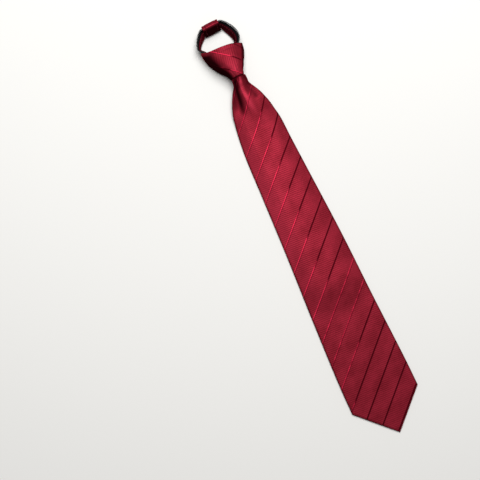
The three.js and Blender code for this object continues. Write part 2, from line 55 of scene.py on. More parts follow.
def smooth(value, low, high):
    share = np.clip((np.asarray(value, float) - low) / (high - low), 0, 1)
    return share * share * (3 - 2 * share)


def mix(first, second, share):
    return first + (second - first) * share


def bell(distance, width):
    return np.exp(-((distance / width) ** 2))


# From millimetres counted from the tie's point to the frame's metres
def toFrame(points):
    return points * mm + np.array([0, tipPlace, 0])


# The way along a line of points, up to each of them
def wayAlong(*columns):
    steps = np.diff(np.stack(columns, axis=-1), axis=0)
    return np.concatenate([[0], np.cumsum(np.linalg.norm(steps, axis=1))])


# A soft unevenness: the sum of waves, each with its height, its rate in both directions and its phase
def ripples(waves, first, second):
    return sum(height * np.sin(rate * first + cross * second + phase) for height, rate, cross, phase in waves)


# Reads a table anywhere between its rows, on a smooth curve. The first number of a row is its place.
def readTable(names, rows):
    table = np.array(rows, float)
    places = table[:, 0]
    last = len(places) - 1
    names = names.split()

    def read(place):
        place = np.clip(np.asarray(place, float), places[0], places[-1])
        k = np.clip(np.searchsorted(places, place, side="right") - 1, 0, last - 1)
        start, end = places[k], places[k + 1]
        before = np.where(k > 0, k - 1, k + 1)
        after = np.where(k + 2 <= last, k + 2, k)
        half = (end - start) / 2
        pullBefore = half / (start - places[before])
        pullAfter = half / (places[after] - end)
        p = (place - start) / (end - start)
        weightBefore = -pullBefore * p * (1 - p) ** 2
        weightAfter = -pullAfter * p**2 * (1 - p)
        weightStart = (1 + pullBefore) * p**3 - (1.5 + 2 * pullBefore) * p**2 + (pullBefore - 0.5) * p + 1
        weightEnd = -(1 + pullAfter) * p**3 + (1.5 + pullAfter) * p**2 + 0.5 * p
        found = {}
        for column, name in enumerate(names, 1):
            values = table[:, column]
            found[name] = (
                weightBefore * values[before]
                + weightStart * values[k]
                + weightEnd * values[k + 1]
                + weightAfter * values[after]
            )
        return found

    return read


# A mesh from one or more grids of points, in millimetres from the tie's point, each with its cloth map
def makePiece(name, grids, closeDistance=2e-6):
    points, faces, maps = [], [], []
    # Per point: the stripes' painted sheen, and the painted shade, which below 0 is painted highlight
    extras = {"lustre": [], "depth": []}
    count = 0
    for grid in grids:
        rows, columns = grid["points"].shape[:2]
        index = np.arange(rows * columns).reshape(rows, columns) + count
        quads = np.stack([index[:-1, :-1], index[:-1, 1:], index[1:, 1:], index[1:, :-1]], axis=-1)
        points.append(grid["points"].reshape(-1, 3))
        maps.append(grid["map"].reshape(-1, 2))
        for key, values in extras.items():
            values.append(np.broadcast_to(grid.get(key, 0.0), (rows, columns)).reshape(-1))
        faces.append(quads.reshape(-1, 4))
        count += rows * columns
    points = toFrame(np.concatenate(points))
    maps = np.concatenate(maps)
    faces = np.concatenate(faces)
    mesh = bpy.data.meshes.new(name)
    mesh.from_pydata(points.tolist(), [], faces.tolist())
    layer = mesh.uv_layers.new(name="cloth")
    layer.data.foreach_set("uv", maps[faces.reshape(-1)].astype(np.float32).reshape(-1))
    for key, values in extras.items():
        attribute = mesh.attributes.new(key, "FLOAT", "POINT")
        attribute.data.foreach_set("value", np.concatenate(values).astype(np.float32))
    body = bmesh.new()
    body.from_mesh(mesh)
    bmesh.ops.remove_doubles(body, verts=body.verts, dist=closeDistance)
    bmesh.ops.dissolve_degenerate(body, dist=closeDistance / 2, edges=body.edges)
    bmesh.ops.recalc_face_normals(body, faces=body.faces)
    body.to_mesh(mesh)
    body.free()
    mesh.polygons.foreach_set("use_smooth", [True] * len(mesh.polygons))
    piece = bpy.data.objects.new(name, mesh)
    bpy.context.scene.collection.objects.link(piece)
    return piece


def dress(piece, material, slotName, *nodes):
    piece.data.materials.clear()
    piece.data.materials.append(material)
    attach(piece, "root")
    if nodes:
        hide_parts(*nodes)


# Materials

def toLinear(hexCode):
    parts = [int(hexCode[k:k + 2], 16) / 255 for k in (1, 3, 5)]
    return [v / 12.92 if v <= 0.04045 else ((v + 0.055) / 1.055) ** 2.4 for v in parts] + [1.0]


# The colours among a material's values
def dyes(values):
    return {key: toLinear(value) for key, value in values.items() if isinstance(value, str)}


# Adds one node and returns one of its outputs. Inputs go by name or number, each a value or another output.
def addNode(tree, kind, inputs=None, out=0, **settings):
    node = tree.nodes.new("ShaderNode" + kind)
    for name, value in settings.items():
        setattr(node, name, value)
    for key, value in (inputs or {}).items():
        if isinstance(value, bpy.types.NodeSocket):
            tree.links.new(value, node.inputs[key])
        else:
            node.inputs[key].default_value = value
    return node.outputs[out] if len(node.outputs) else None


# A new material, with addNode for its own tree
def newMaterial(name):
    material = bpy.data.materials.new(name)
    material.use_nodes = True
    material.node_tree.nodes.clear()
    return material, partial(addNode, material.node_tree)


def finishMaterial(add, colour, bump, shader):
    shaderOutput = add("BsdfPrincipled", {"Base Color": colour, "Normal": bump, **shader})
    add("OutputMaterial", {"Surface": shaderOutput})


# Painted shade on both satins: the depth attribute mixes in a dark colour and takes away the gloss in folds,
# on flanks and in hollows, where shade falls.
def finishSatin(add, colour, bump, values):
    depth = add("Attribute", out=2, attribute_name="depth")
    colour = add("Mix", {0: depth, 6: colour, 7: toLinear(values["paintedShade"])}, out=2, data_type="RGBA")
    gloss = add("MapRange", {0: depth, 3: values["gloss"], 4: 0.0})
    finishMaterial(add, colour, bump, {**values["shader"], "Metallic": gloss})


stripedSatinValues = {
    "ground": "#8c2231",  # polyester satin dyed dark red
    "shade": "#6a1620",  # where the ribs of the weave turn away
    "paintedHighlight": "#c8384e",  # painted highlight on stretched folds, mixed in where the depth attribute is below 0
    "paintedShade": "#120103",  # painted shade, mixed in by the depth attribute in folds, on flanks and in hollows
    "stripePaintedHighlight": "#cf2c48",  # painted highlight: the stripe's long floats drawn as if towards the light
    "stripePaintedShade": "#43040d",  # painted shade: the same floats drawn as if turned away from it, also used for the painted shadow line beside a stripe
    "gloss": 0.5,  # how far it shines like metal, in its own colour, as satin floats do
    "pitch": 18.6,  # mm from stripe to stripe, which is one unit of the cloth map
    "stripeWidth": 1.15,  # mm
    "stripeEdge": (0.7, 1.2),  # where a stripe fades out, in half widths from its middle
    "besidePlace": 1.5,  # the middle of the painted shadow line beside a stripe, in its half widths
    "besideEdge": (0.2, 0.8),
    "besideStrength": 0.75,
    "ribPitch": 2.0,  # mm, drawn about five times as coarse as the real rib, so that it shows
    "yarn": (2.2, 0.35),  # yarns to a rib, across and along
    "cloud": (1.1, 0.7),  # patches to a stripe's pitch where the ribs show more or less
    "shimmer": (3.0, 2.6),  # patches to a stripe's pitch where its painted sheen wavers
    "reliefHeight": 0.0003,  # metres
    # The tint is the colour of the gloss seen at a low angle.
    "shader": {"Roughness": 0.5, "Specular IOR Level": 0.0, "Specular Tint": (0.35, 0.03, 0.05, 1)},
}


# Jacquard polyester satin: a coloured, fairly sharp gloss over a darker body, with ribs and woven stripes
def makeStripedSatin():
    values, dye = stripedSatinValues, dyes(stripedSatinValues)
    material, add = newMaterial("striped_polyester_satin")
    cloth = add("UVMap", uv_map="cloth")
    across = add("SeparateXYZ", {0: cloth})
    nearest = add("Math", {0: across}, operation="ROUND")
    offset = add("Math", {0: across, 1: nearest}, operation="SUBTRACT")
    away = add("Math", {0: offset}, operation="ABSOLUTE")
    half = values["stripeWidth"] / 2 / values["pitch"]
    near, far = [share * half for share in values["stripeEdge"]]
    core = add("MapRange", {0: away, 1: near, 2: far, 3: 1.0, 4: 0.0}, interpolation_type="SMOOTHSTEP")
    # Painted shadow: the ground turns dark right beside a stripe, on the side towards the point.
    beside = add("Math", {0: offset, 1: values["besidePlace"] * half}, operation="ADD")
    beside = add("Math", {0: beside}, operation="ABSOLUTE")
    near, far = [share * half for share in values["besideEdge"]]
    beside = add("MapRange", {0: beside, 1: near, 2: far, 3: 1.0, 4: 0.0}, interpolation_type="SMOOTHSTEP")

    ribScale = values["pitch"] / values["ribPitch"]
    ribMap = add("Mapping", {0: cloth, 3: (ribScale, ribScale, 1.0)})
    ribs = add(
        "TexWave", {0: ribMap, 1: 0.32, 2: 1.6, 3: 2.0, 4: 1.4}, out=1,
        wave_type="BANDS", bands_direction="Y", wave_profile="SIN",
    )
    yarnMap = add("Mapping", {0: cloth, 3: (*(ribScale * share for share in values["yarn"]), 1.0)})
    yarn = add("TexNoise", {0: yarnMap, 2: 1.0, 3: 3.0, 4: 0.6})
    cloud, shimmer = [
        add("TexNoise", {0: add("Mapping", {0: cloth, 3: (*values[key], 1.0)}), 2: 1.0, 3: 2.0})
        for key in ("cloud", "shimmer")
    ]

    ribStrength = add("MapRange", {0: cloud, 1: 0.38, 2: 0.62, 3: 0.05, 4: 0.5})
    share = add("Math", {0: ribs, 1: ribStrength}, operation="MULTIPLY")
    share = add("Math", {0: yarn, 1: 0.5, 2: share}, operation="MULTIPLY_ADD")
    share = add("Math", {0: cloud, 1: 0.16, 2: share}, operation="MULTIPLY_ADD")
    share = add("MapRange", {0: share, 1: 0.28, 2: 0.82})
    ground = add("Mix", {0: share, 6: dye["ground"], 7: dye["shade"]}, out=2, data_type="RGBA")
    depth = add("Attribute", out=2, attribute_name="depth")
    # Painted highlight: where the depth attribute is below 0, the colour turns lighter.
    paintedHighlight = add("MapRange", {0: depth, 1: 0.0, 2: -1.0})
    ground = add("Mix", {0: paintedHighlight, 6: ground, 7: dye["paintedHighlight"]}, out=2, data_type="RGBA")
    beside = add("Math", {0: beside, 1: values["besideStrength"]}, operation="MULTIPLY")
    ground = add("Mix", {0: beside, 6: ground, 7: dye["stripePaintedShade"]}, out=2, data_type="RGBA")
    # Painted sheen: an attribute draws each stripe bright or dark by where it lies on the tie.
    lustre = add("Attribute", out=2, attribute_name="lustre")
    streak = add("Math", {0: shimmer, 1: 0.9, 2: lustre}, operation="MULTIPLY_ADD")
    streak = add("MapRange", {0: streak, 1: 0.5, 2: 1.2}, interpolation_type="SMOOTHSTEP")
    stripe = add("Mix", {0: streak, 6: dye["stripePaintedShade"], 7: dye["stripePaintedHighlight"]}, out=2, data_type="RGBA")
    colour = add("Mix", {0: core, 6: ground, 7: stripe}, out=2, data_type="RGBA")

    relief = values["reliefHeight"]
    height = add("Math", {0: yarn, 1: 0.6, 2: ribs}, operation="MULTIPLY_ADD")
    bump = add("Bump", {"Strength": 0.4, "Distance": relief, "Height": height})
    bump = add("Bump", {"Strength": 0.6, "Distance": relief, "Height": core, "Normal": bump})
    finishSatin(add, colour, bump, values)
    return material


plainSatinValues = {
    "ground": "#86202f",
    "shade": "#571019",
    # painted shade, mixed in by the depth attribute, here on the loop's inner sides and the sleeve's
    "paintedShade": "#150103",
    "gloss": 0.5,
    "ribPitch": 0.9,  # mm, three times as coarse as the real yarns
    "yarnStretch": 0.12,  # width of a yarn as a share of the length that one mark takes on it
    "shader": {"Roughness": 0.42, "Specular IOR Level": 0.0, "Specular Tint": (0.3, 0.02, 0.04, 1)},
}


# Plain polyester satin, cut on the straight: yarns show as fine lines along the strip
def makePlainSatin():
    values, dye = plainSatinValues, dyes(plainSatinValues)
    material, add = newMaterial("plain_polyester_satin")
    ribScale = 1 / values["ribPitch"]
    cloth = add("UVMap", uv_map="cloth")
    yarnMap = add("Mapping", {0: cloth, 3: (values["yarnStretch"] * ribScale, ribScale, 1.0)})
    yarn = add("TexNoise", {0: yarnMap, 2: 1.0, 3: 3.0, 4: 0.6})
    share = add("MapRange", {0: yarn, 1: 0.3, 2: 0.75})
    colour = add("Mix", {0: share, 6: dye["ground"], 7: dye["shade"]}, out=2, data_type="RGBA")
    bump = add("Bump", {"Strength": 0.25, "Distance": 0.0002, "Height": yarn})
    finishSatin(add, colour, bump, values)
    return material


zipTapeValues = {
    "yarn": "#0b0a0c",
    # painted highlight on the tops of the ribs, where they catch a little light
    "wearAndSheen": "#1d1b1e",
    "ribPitch": 1.1,  # mm, the tape's herringbone ribs, about twice as coarse as real ones
    "bandWidth": 2.6,  # mm from one turn of the herringbone to the next
    "shader": {"Roughness": 0.85, "Specular IOR Level": 0.12},
}


# Woven polyester zip tape: matt black, with herringbone ribs whose tops are drawn a little lighter as a
# painted highlight, over random fuzz
def makeZipTape():
    values, dye = zipTapeValues, dyes(zipTapeValues)
    material, add = newMaterial("woven_polyester_zip_tape")
    cloth = add("UVMap", uv_map="cloth")
    along, across = [add("SeparateXYZ", {0: cloth}, out=k) for k in (0, 1)]
    fold = add("Math", {0: across, 1: values["bandWidth"]}, operation="PINGPONG")
    lines = add("Math", {0: along, 1: fold}, operation="ADD")
    turn = add("Math", {0: lines, 1: 2 * math.pi / values["ribPitch"]}, operation="MULTIPLY")
    wave = add("Math", {0: turn}, operation="SINE")
    fuzz = add("TexNoise", {0: cloth, 2: 2.4, 3: 4.0})
    height = add("Math", {0: wave, 1: 0.4, 2: fuzz}, operation="MULTIPLY_ADD")
    share = add("MapRange", {0: height, 1: 0.4, 2: 1.0})
    colour = add("Mix", {0: share, 6: dye["yarn"], 7: dye["wearAndSheen"]}, out=2, data_type="RGBA")
    bump = add("Bump", {"Strength": 0.5, "Distance": 0.0002, "Height": height})
    finishMaterial(add, colour, bump, values["shader"])
    return material


# Finishes of two close colours in fine marks. Marks and relief are each the scale and detail of a noise.
markedFinishes = {
    # Extruded nylon monofilament: black, smooth and a little glossy, dulled by fine scratches
    "extruded_black_nylon": {
        "ground": "#070607", "wearAndSheen": "#181619", "marks": (1800, 3), "wornFrom": 0.35, "wornTo": 0.7,
        "relief": (1800, 3), "strength": 0.15,
        "shader": {"Roughness": 0.4, "IOR": 1.53, "Specular IOR Level": 0.3},
    },
    # Stove enamel on a zinc die casting: black, with an orange-peel surface and a few rubbed spots
    "black_enamelled_zinc": {
        "ground": "#141416", "wearAndSheen": "#3b3a3c", "marks": (260, 4), "wornFrom": 0.6, "wornTo": 0.75,
        "relief": (900, 2), "strength": 0.1, "shader": {"Roughness": 0.3, "Metallic": 0.2},
    },
    # Spun polyester sewing thread: a little duller and lighter than the satin, with its twist just showing
    "spun_polyester_thread": {
        "ground": "#8f2433", "wearAndSheen": "#4d0f17", "marks": (2500, 2), "wornFrom": 0.35, "wornTo": 0.65,
        "relief": (2500, 2), "strength": 0.3, "shader": {"Roughness": 0.6, "Specular IOR Level": 0.2},
    },
}


def makeMarkedFinish(name):
    values, dye = markedFinishes[name], dyes(markedFinishes[name])
    material, add = newMaterial(name)
    place = add("TexCoord", out="Object")
    marks, relief = [
        add("TexNoise", {0: place, 2: values[key][0], 3: values[key][1]}) for key in ("marks", "relief")
    ]
    share = add("MapRange", {0: marks, 1: values["wornFrom"], 2: values["wornTo"]})
    colour = add("Mix", {0: share, 6: dye["ground"], 7: dye["wearAndSheen"]}, out=2, data_type="RGBA")
    bump = add("Bump", {"Strength": values["strength"], "Distance": 0.0001, "Height": relief})
    finishMaterial(add, colour, bump, values["shader"])
    return material


stripedSatin = makeStripedSatin()
plainSatin = makePlainSatin()
zipTape = makeZipTape()
coilNylon, sliderEnamel, satinThread = [makeMarkedFinish(name) for name in markedFinishes]
print("materials made")


# Sizes that several pieces share, in millimetres

tieValues = {
    "bladeLength": 428,  # from the point to the knot's lower edge
    "bladeThickness": 3,
    "driftStart": 1.4,  # neck lengths below the knot, where the middle line starts to drift across
    "gap": 0.3,
    "floorGap": 0.5,  # under what doesn't carry the tie
    "zipRoom": 0.5,  # between the zip and the blade over it
    "neckLength": 58,  # over which the blade gathers and the zip flattens
    "knotHeight": 35,
    "knotShift": 1.9,  # the knot's lower end across the tie
    "loopShift": -1,
    "loopRadius": 23.9,  # to the middle of the coil
    "loopSetting": 7,  # from the knot's upper edge to the loop's middle
}
knotBase = tieValues["bladeLength"]
knotTop = knotBase + tieValues["knotHeight"]
loopPlace = knotTop + tieValues["loopSetting"]
neckLength = tieValues["neckLength"]
gap = tieValues["gap"]
floorGap = tieValues["floorGap"]

knotValues = {
    "topWidth": 46.4,
    "neckWidth": 15.8,
    "depth": 24.5,
    "wall": 1.4,
    "headroom": 1.6,
    "backDrop": 9,
    "cornerDent": 1.1,
    "cornerPlace": 1.235,
    "stripeLine": 25.2,  # mm above the lower edge, where a stripe crosses the middle
    "stripeFall": 0.76,  # how fast it falls to the right
    "stripeStep": 18.2,  # mm up to the next one
    "lipRoll": 0.35,  # mm that the folded upper edge stands proud
    "belly": 0.42,  # height of its widest line, as a share of its whole height
    "backBluntness": 4,  # the back is nearly flat, as it lies on a table
    "mouth": 0.85,  # share of its height above which the straps are out of it
    "sizeFlat": (82, 39),  # mm, round it and along it
    "lustre": 0.75,  # painted sheen of the stripes
    "insideShade": 0.8,  # how dark the hollow is
    "paintedHighlight": 0.4,  # painted highlight on the belly of the front
}
knotRows = readTable("spread drift swell bluntness", [
    (0.0, 0, 0, 0, 2.7),
    (0.12, 0.08, 0.1, 0.3, 2.6),
    (0.25, 0.215, 0.31, 0.55, 2.4),
    (0.4, 0.43, 0.67, 0.82, 2.25),
    (0.6, 0.655, 0.95, 1, 2.15),
    (0.8, 0.86, 1.04, 0.95, 2.1),
    (1.0, 1, 1, 0.62, 2.1),
])
# The rise of the knot's upper edge across its front, as a share of its height
mouthRows = readTable("rise", [
    (-1.0, 0.12), (-0.8, 0.05), (-0.6, 0.025), (0.0, 0), (0.55, -0.035), (0.78, -0.08), (1.0, -0.1),
])


# The strap: half of the zip, from the top of the loop through the knot to the end of the tail

strapValues = {
    "width": 13.3,
    "length": 330,
    "coilRadius": 1,
    "tapeThickness": 1,
    "satinThickness": 1,
    "satinMargin": 3,
    "satinGap": 0.45,
    "endGap": 2.2,  # between the two upper ends, in the sleeve
    "step": 1.1,  # mm between the sections that are drawn
    "loopEnd": 84,  # degrees from the loop's top to where the strap goes into the knot
    "bendShare": 0.25,  # of the way there from the sleeve, over which it bends most
    "openSide": 1.3,  # coil radii that each half stands aside where the zip opens
    "openLean": 10,
    "openCurl": 105,
    "sliderPlace": 6,  # mm from the knot's lower edge up to the slider
    "sliderLength": 9,
}
coilRadius = strapValues["coilRadius"]
tapeStart = coilRadius + gap
tapeReach = strapValues["width"] - coilRadius
satinStart = coilRadius + strapValues["satinMargin"]
satinUpper = -strapValues["tapeThickness"] / 2 - strapValues["satinGap"]
satinLower = satinUpper - strapValues["satinThickness"]

# Degrees that the strap leans out from upright, by the turn from the top of the loop
loopLean = readTable("left right", [
    (0, 25, 25), (16, 25, 25), (32, 25, 25), (41, 27, 31), (50, 27, 37), (65, 18, 39), (80, 8, 38),
    (95, 3, 31),
])
knotPath = [
    # place up the knot, then left and right: shares of its free half width and leans, and the curl
    (1.08, 0.9, 1.1, 94, 116, 0),
    (0.92, 0.86, 0.94, 93, 104, 0),
    (0.77, 0.66, 0.74, 84, 88, 10),
    (0.61, 0.5, 0.5, 56, 58, 46),
]
# Place below the knot's lower edge, as a share of the neck's length, then lean and curl
zipTable = [
    (-0.2, 4, 120), (-0.1, 0, 125), (0.0, 30, 100), (0.1, 24, 92), (0.2, 15, 75), (0.31, 10, 60),
    (0.48, 5, 40), (0.66, 0, 25), (0.83, 0, 8), (1.0, 0, 0),
]
zipRows = readTable("lean curl", zipTable)

sleeveValues = {
    "length": 19,
    "wall": 1,
    "shift": 1,  # to the left of the loop's top
    "sink": 2.6,  # how far it flattens the loop, at its middle
    "pass": 2.3,  # how far the strap runs straight past its ends
    "room": 0.4,
    "floorGap": 0.4,
    "settling": (1.1, 2.2),  # where the strap comes down beside it, in its half lengths from its middle
    "cornerRadius": 1.5,
    "innerCorner": 0.55,  # radius inside, as a share of that
    "hem": 2.6,  # mm from its end to the stitching
    "hemWidth": 0.5,
    "puff": 0.35,
    "puffReach": 2.5,  # mm that the cloth takes to swell behind the stitching
    "shade": 0.93,  # how dark its inner side is, which lies in the loop's own shade
    "shadeFrom": 0.9,  # mm below its upper fold, where that shade starts and is full
    "shadeTo": 2.6,
    "cut": 42,  # mm once round
}
sleeveMiddle = -sleeveValues["shift"] / tieValues["loopRadius"]  # as a turn from the loop's top, in radians
sleeveLine = tieValues["loopRadius"] - sleeveValues["sink"]  # from the loop's middle to the coils in it
sleeveReach = math.atan(sleeveValues["length"] / 2 / sleeveLine)
sleeveTurn = math.atan((sleeveValues["length"] / 2 + sleeveValues["pass"]) / sleeveLine)


# A point of the section, out from the coil's middle and up from it. Run counts along the tape, off across it.
def sectionPoint(lean, curl, run, off):
    turn = np.radians(curl) * run / tapeReach
    start = np.radians(lean)
    chord = run * np.sinc(turn / 2 / np.pi)
    out = chord * np.cos(start + turn / 2) + off * np.sin(start + turn)
    up = -chord * np.sin(start + turn / 2) + off * np.cos(start + turn)
    return out, up


def reachBelow(lean, curl):
    runs = np.linspace(tapeStart, tapeReach, 7)
    lower = sectionPoint(lean, curl, runs, satinLower)[1]
    upper = sectionPoint(lean, curl, runs, strapValues["tapeThickness"] / 2)[1]
    return max(coilRadius, -lower.min(), -upper.min())


def sleeveBox(extra):
    room = sleeveValues["room"]
    return (
        -coilRadius - room - extra,
        tapeReach + room + extra,
        satinLower - room - extra,
        coilRadius + room + extra,
    )


def knotSection(share):
    row = knotRows(share)
    return {
        "half": mix(knotValues["neckWidth"], knotValues["topWidth"], row["spread"]) / 2,
        "middle": mix(tieValues["knotShift"], tieValues["loopShift"], row["drift"]),
        "crown": mix(knotNeckDepth, knotValues["depth"], row["swell"]),
        "bluntness": row["bluntness"],
    }


def middleLine(place):
    share = (np.asarray(place, float) - knotBase) / tieValues["knotHeight"]
    driftStart = knotBase - tieValues["driftStart"] * neckLength
    below = tieValues["knotShift"] * smooth(place, driftStart, knotBase)
    above = mix(tieValues["knotShift"], tieValues["loopShift"], knotRows(np.clip(share, 0, 1))["drift"])
    return np.where(share < 0, below, above)


zipStart = zipRows(0)
zipHeight = knotValues["wall"] + floorGap + reachBelow(zipStart["lean"], zipStart["curl"])
plugBase = zipHeight + coilRadius + tieValues["zipRoom"]
knotNeckDepth = plugBase + tieValues["bladeThickness"] + gap + knotValues["headroom"] + knotValues["wall"]
coilSide = coilRadius + gap / 2


def loopStation(turn):
    row = loopLean(abs(turn))
    lean = 90 + float(row["left"] if turn < 0 else row["right"])
    angle = math.radians(turn)
    near, far, inner, outer = sleeveBox(sleeveValues["wall"])
    corners = [sectionPoint(lean, 0, run, off)[1] for run in (near, far) for off in (inner, outer)]
    free = floorGap + reachBelow(lean, 0)
    away = abs(angle - sleeveMiddle)
    start, end = [share * sleeveReach for share in sleeveValues["settling"]]
    height = mix(sleeveValues["floorGap"] - min(corners), free, float(smooth(away, start, end)))
    straight = sleeveLine / math.cos(min(away, sleeveTurn))
    reach = mix(straight, tieValues["loopRadius"], float(smooth(away, sleeveTurn, 2 * sleeveTurn)))
    return {
        "x": tieValues["loopShift"] + reach * math.sin(angle),
        "y": loopPlace + reach * math.cos(angle),
        "z": height,
        "lean": lean,
        "curl": 0.0,
    }


def knotStation(row, side):
    place, left, right, leanLeft, leanRight, curl = row
    part = knotSection(min(place, 1))
    free = part["half"] - knotValues["wall"] - gap - coilRadius
    floor = floorGap if place > knotValues["mouth"] else floorGap + knotValues["wall"]
    lean = leanLeft if side < 0 else leanRight
    return {
        "x": float(part["middle"] + side * free * (left if side < 0 else right)),
        "y": knotBase + place * tieValues["knotHeight"],
        "z": max(zipHeight, floor + reachBelow(lean, curl)),
        "lean": lean,
        "curl": curl,
    }


def zipStation(place, side):
    below = (knotBase - place) / neckLength
    row = zipRows(below)
    lean, curl = float(row["lean"]), float(row["curl"])
    floor = mix(floorGap + knotValues["wall"], floorGap, float(smooth(below, 0, 0.1)))
    height = zipHeight if below < 0 else floor + reachBelow(lean, curl)
    return {
        "x": float(middleLine(place)) + side * coilSide, "y": place, "z": height, "lean": lean, "curl": curl,
    }


# Stations along one strap: round the loop, through the knot, and down the zip
def strapStations(side):
    values = strapValues
    firstTurn = math.degrees(values["endGap"] / 2 / tieValues["loopRadius"])
    sleeveEnd = math.degrees(sleeveTurn + side * sleeveMiddle)
    bend = mix(sleeveEnd, values["loopEnd"], values["bendShare"])
    turns = [*np.linspace(firstTurn, sleeveEnd, 5), *np.linspace(sleeveEnd, bend, 5)[1:]]
    turns += [*np.linspace(bend, values["loopEnd"], 8)[1:]]
    stations = [loopStation(side * turn) for turn in turns]
    stations += [knotStation(row, side) for row in knotPath]
    sliderPlace = knotBase + values["sliderPlace"]
    opening = zipStation(sliderPlace + values["sliderLength"], side)
    openX = opening["x"] + side * values["openSide"] * coilRadius
    opening.update(x=openX, lean=values["openLean"], curl=values["openCurl"])
    stations.append(opening)
    places = [sliderPlace + values["sliderLength"] / 2, sliderPlace]
    places += [knotBase - row[0] * neckLength for row in zipTable if row[0] >= 0]
    return stations + [zipStation(place, side) for place in places]


def stationWay(stations):
    return wayAlong(*([station[axis] for station in stations] for axis in "xyz"))


tailEnd = knotBase - neckLength - (strapValues["length"] - stationWay(strapStations(-1))[-1])
zipFlatTop = zipStation(knotBase - neckLength, 1)["z"] + coilRadius


# Places along one strap, close together, each with its direction out from the loop or the middle
def strapPath(side, count):
    stations = strapStations(side)
    stations += [zipStation(mix(knotBase - neckLength, tailEnd, share), side) for share in (0.5, 1)]
    way = stationWay(stations)
    names = ["x", "y", "z", "lean", "curl"]
    read = readTable(" ".join(names), [(at, *[s[name] for name in names]) for at, s in zip(way, stations)])
    at = np.linspace(0, way[-1], count)
    path = read(at)
    path["way"] = at
    nearby = 0.05
    before, after = read(at - nearby), read(at + nearby)
    along = np.stack([after["x"] - before["x"], after["y"] - before["y"]], axis=-1)
    along /= np.linalg.norm(along, axis=-1, keepdims=True)
    path["outX"], path["outY"] = -side * along[:, 1], side * along[:, 0]
    return path


def strapPoints(path, runs, offs):
    columns = {name: values[:, None] for name, values in path.items()}
    out, up = sectionPoint(columns["lean"], columns["curl"], runs, offs)
    return np.stack([
        columns["x"] + columns["outX"] * out, columns["y"] + columns["outY"] * out, columns["z"] + up,
    ], axis=-1)


# The outline of a strip's section: flat on both sides, round at both edges
def stripOutline(first, last, upper, lower, steps, corner):
    radius = (upper - lower) / 2
    middle = (upper + lower) / 2
    flat = np.linspace(first + radius, last - radius, steps)
    turns = np.linspace(-math.pi / 2, math.pi / 2, corner + 2)[1:-1]
    runs = [*flat, *(last - radius + radius * np.cos(turns[::-1])), *flat[::-1]]
    offs = [*np.full(steps, upper), *(middle + radius * np.sin(turns[::-1])), *np.full(steps, lower)]
    runs += [*(first + radius - radius * np.cos(turns)), flat[0]]
    offs += [*(middle + radius * np.sin(turns)), upper]
    return np.array(runs), np.array(offs), middle


# One strip of cloth along the path. Where it has a wave, it puckers a little between its stitches. Depth is
# the painted shade it gets.
def makeStrip(name, path, first, last, upper, lower, steps, wave=0.0, depth=0.0):
    runs, offs, middle = stripOutline(first, last, upper, lower, steps, 4)
    rows = len(path["way"])
    allRuns = np.tile(runs, (rows, 1))
    allOffs = np.tile(offs, (rows, 1))
    if wave:
        at = path["way"][:, None]
        ripple = np.sin(at * 0.9 + 2.1 * np.sin(at * 0.13))  # about 7 mm long, unevenly set
        inside = bell((runs - (first + last) / 2) / (last - first), 0.35)
        allOffs = allOffs + wave * ripple * inside * np.where(offs < middle, 1, 0)
    points = strapPoints(path, allRuns, allOffs)
    closed = strapPoints(path, allRuns, np.full_like(allOffs, middle))
    points = np.concatenate([closed[:1], points, closed[-1:]])
    around = wayAlong(runs, offs)
    way = np.concatenate([path["way"][:1], path["way"], path["way"][-1:]])
    cloth = np.stack(np.broadcast_arrays(way[:, None], around[None, :]), axis=-1)
    return makePiece(name, [{"points": points, "map": cloth, "depth": depth}])


# Threads and wires: round tubes along lines of points
def makeThread(name, lines, radius, sides):
    curve = bpy.data.curves.new(name, "CURVE")
    curve.dimensions = "3D"
    curve.bevel_depth = radius * mm
    curve.bevel_resolution = sides - 1
    curve.use_fill_caps = True
    for line in lines:
        spline = curve.splines.new("POLY")
        spline.points.add(len(line) - 1)
        spline.points.foreach_set("co", np.hstack([toFrame(line), np.ones((len(line), 1))]).reshape(-1))
    thread = bpy.data.objects.new(name, curve)
    bpy.context.scene.collection.objects.link(thread)
    bpy.ops.object.select_all(action="DESELECT")
    thread.select_set(True)
    bpy.context.view_layer.objects.active = thread
    bpy.ops.object.convert(target="MESH")
    thread = bpy.context.view_layer.objects.active
    thread.data.polygons.foreach_set("use_smooth", [True] * len(thread.data.polygons))
    return thread


coilValues = {
    "pitch": 1.5,  # mm from turn to turn
    "wire": 0.34,  # radius of the filament
    "squash": 0.92,
    "pointsATurn": 10,
    "sides": 2,
}


# One row of teeth: a filament wound along the edge of the tape
def makeCoil(name, path):
    turns = path["way"][-1] / coilValues["pitch"]
    count = int(turns * coilValues["pointsATurn"])
    angle = np.linspace(0, 2 * math.pi * turns, count)
    at = np.linspace(path["way"][0], path["way"][-1], count)
    here = {key: np.interp(at, path["way"], path[key]) for key in ("x", "y", "z", "outX", "outY")}
    radius = coilRadius - coilValues["wire"]
    out = radius * np.cos(angle)
    up = radius * np.sin(angle) * coilValues["squash"]
    x, y = here["x"] + here["outX"] * out, here["y"] + here["outY"] * out
    line = np.stack([x, y, here["z"] + up], axis=-1)
    return makeThread(name, [line], coilValues["wire"], coilValues["sides"])


stitchValues = {
    "length": 1.9,  # mm
    "pitch": 2.7,
    "radius": 0.16,
    "rise": 0.1,  # how far the thread's middle stands over the cloth
    "sink": 0.35,  # and its ends lie below it
    "fromEdge": 1.2,
    "sides": 2,
}


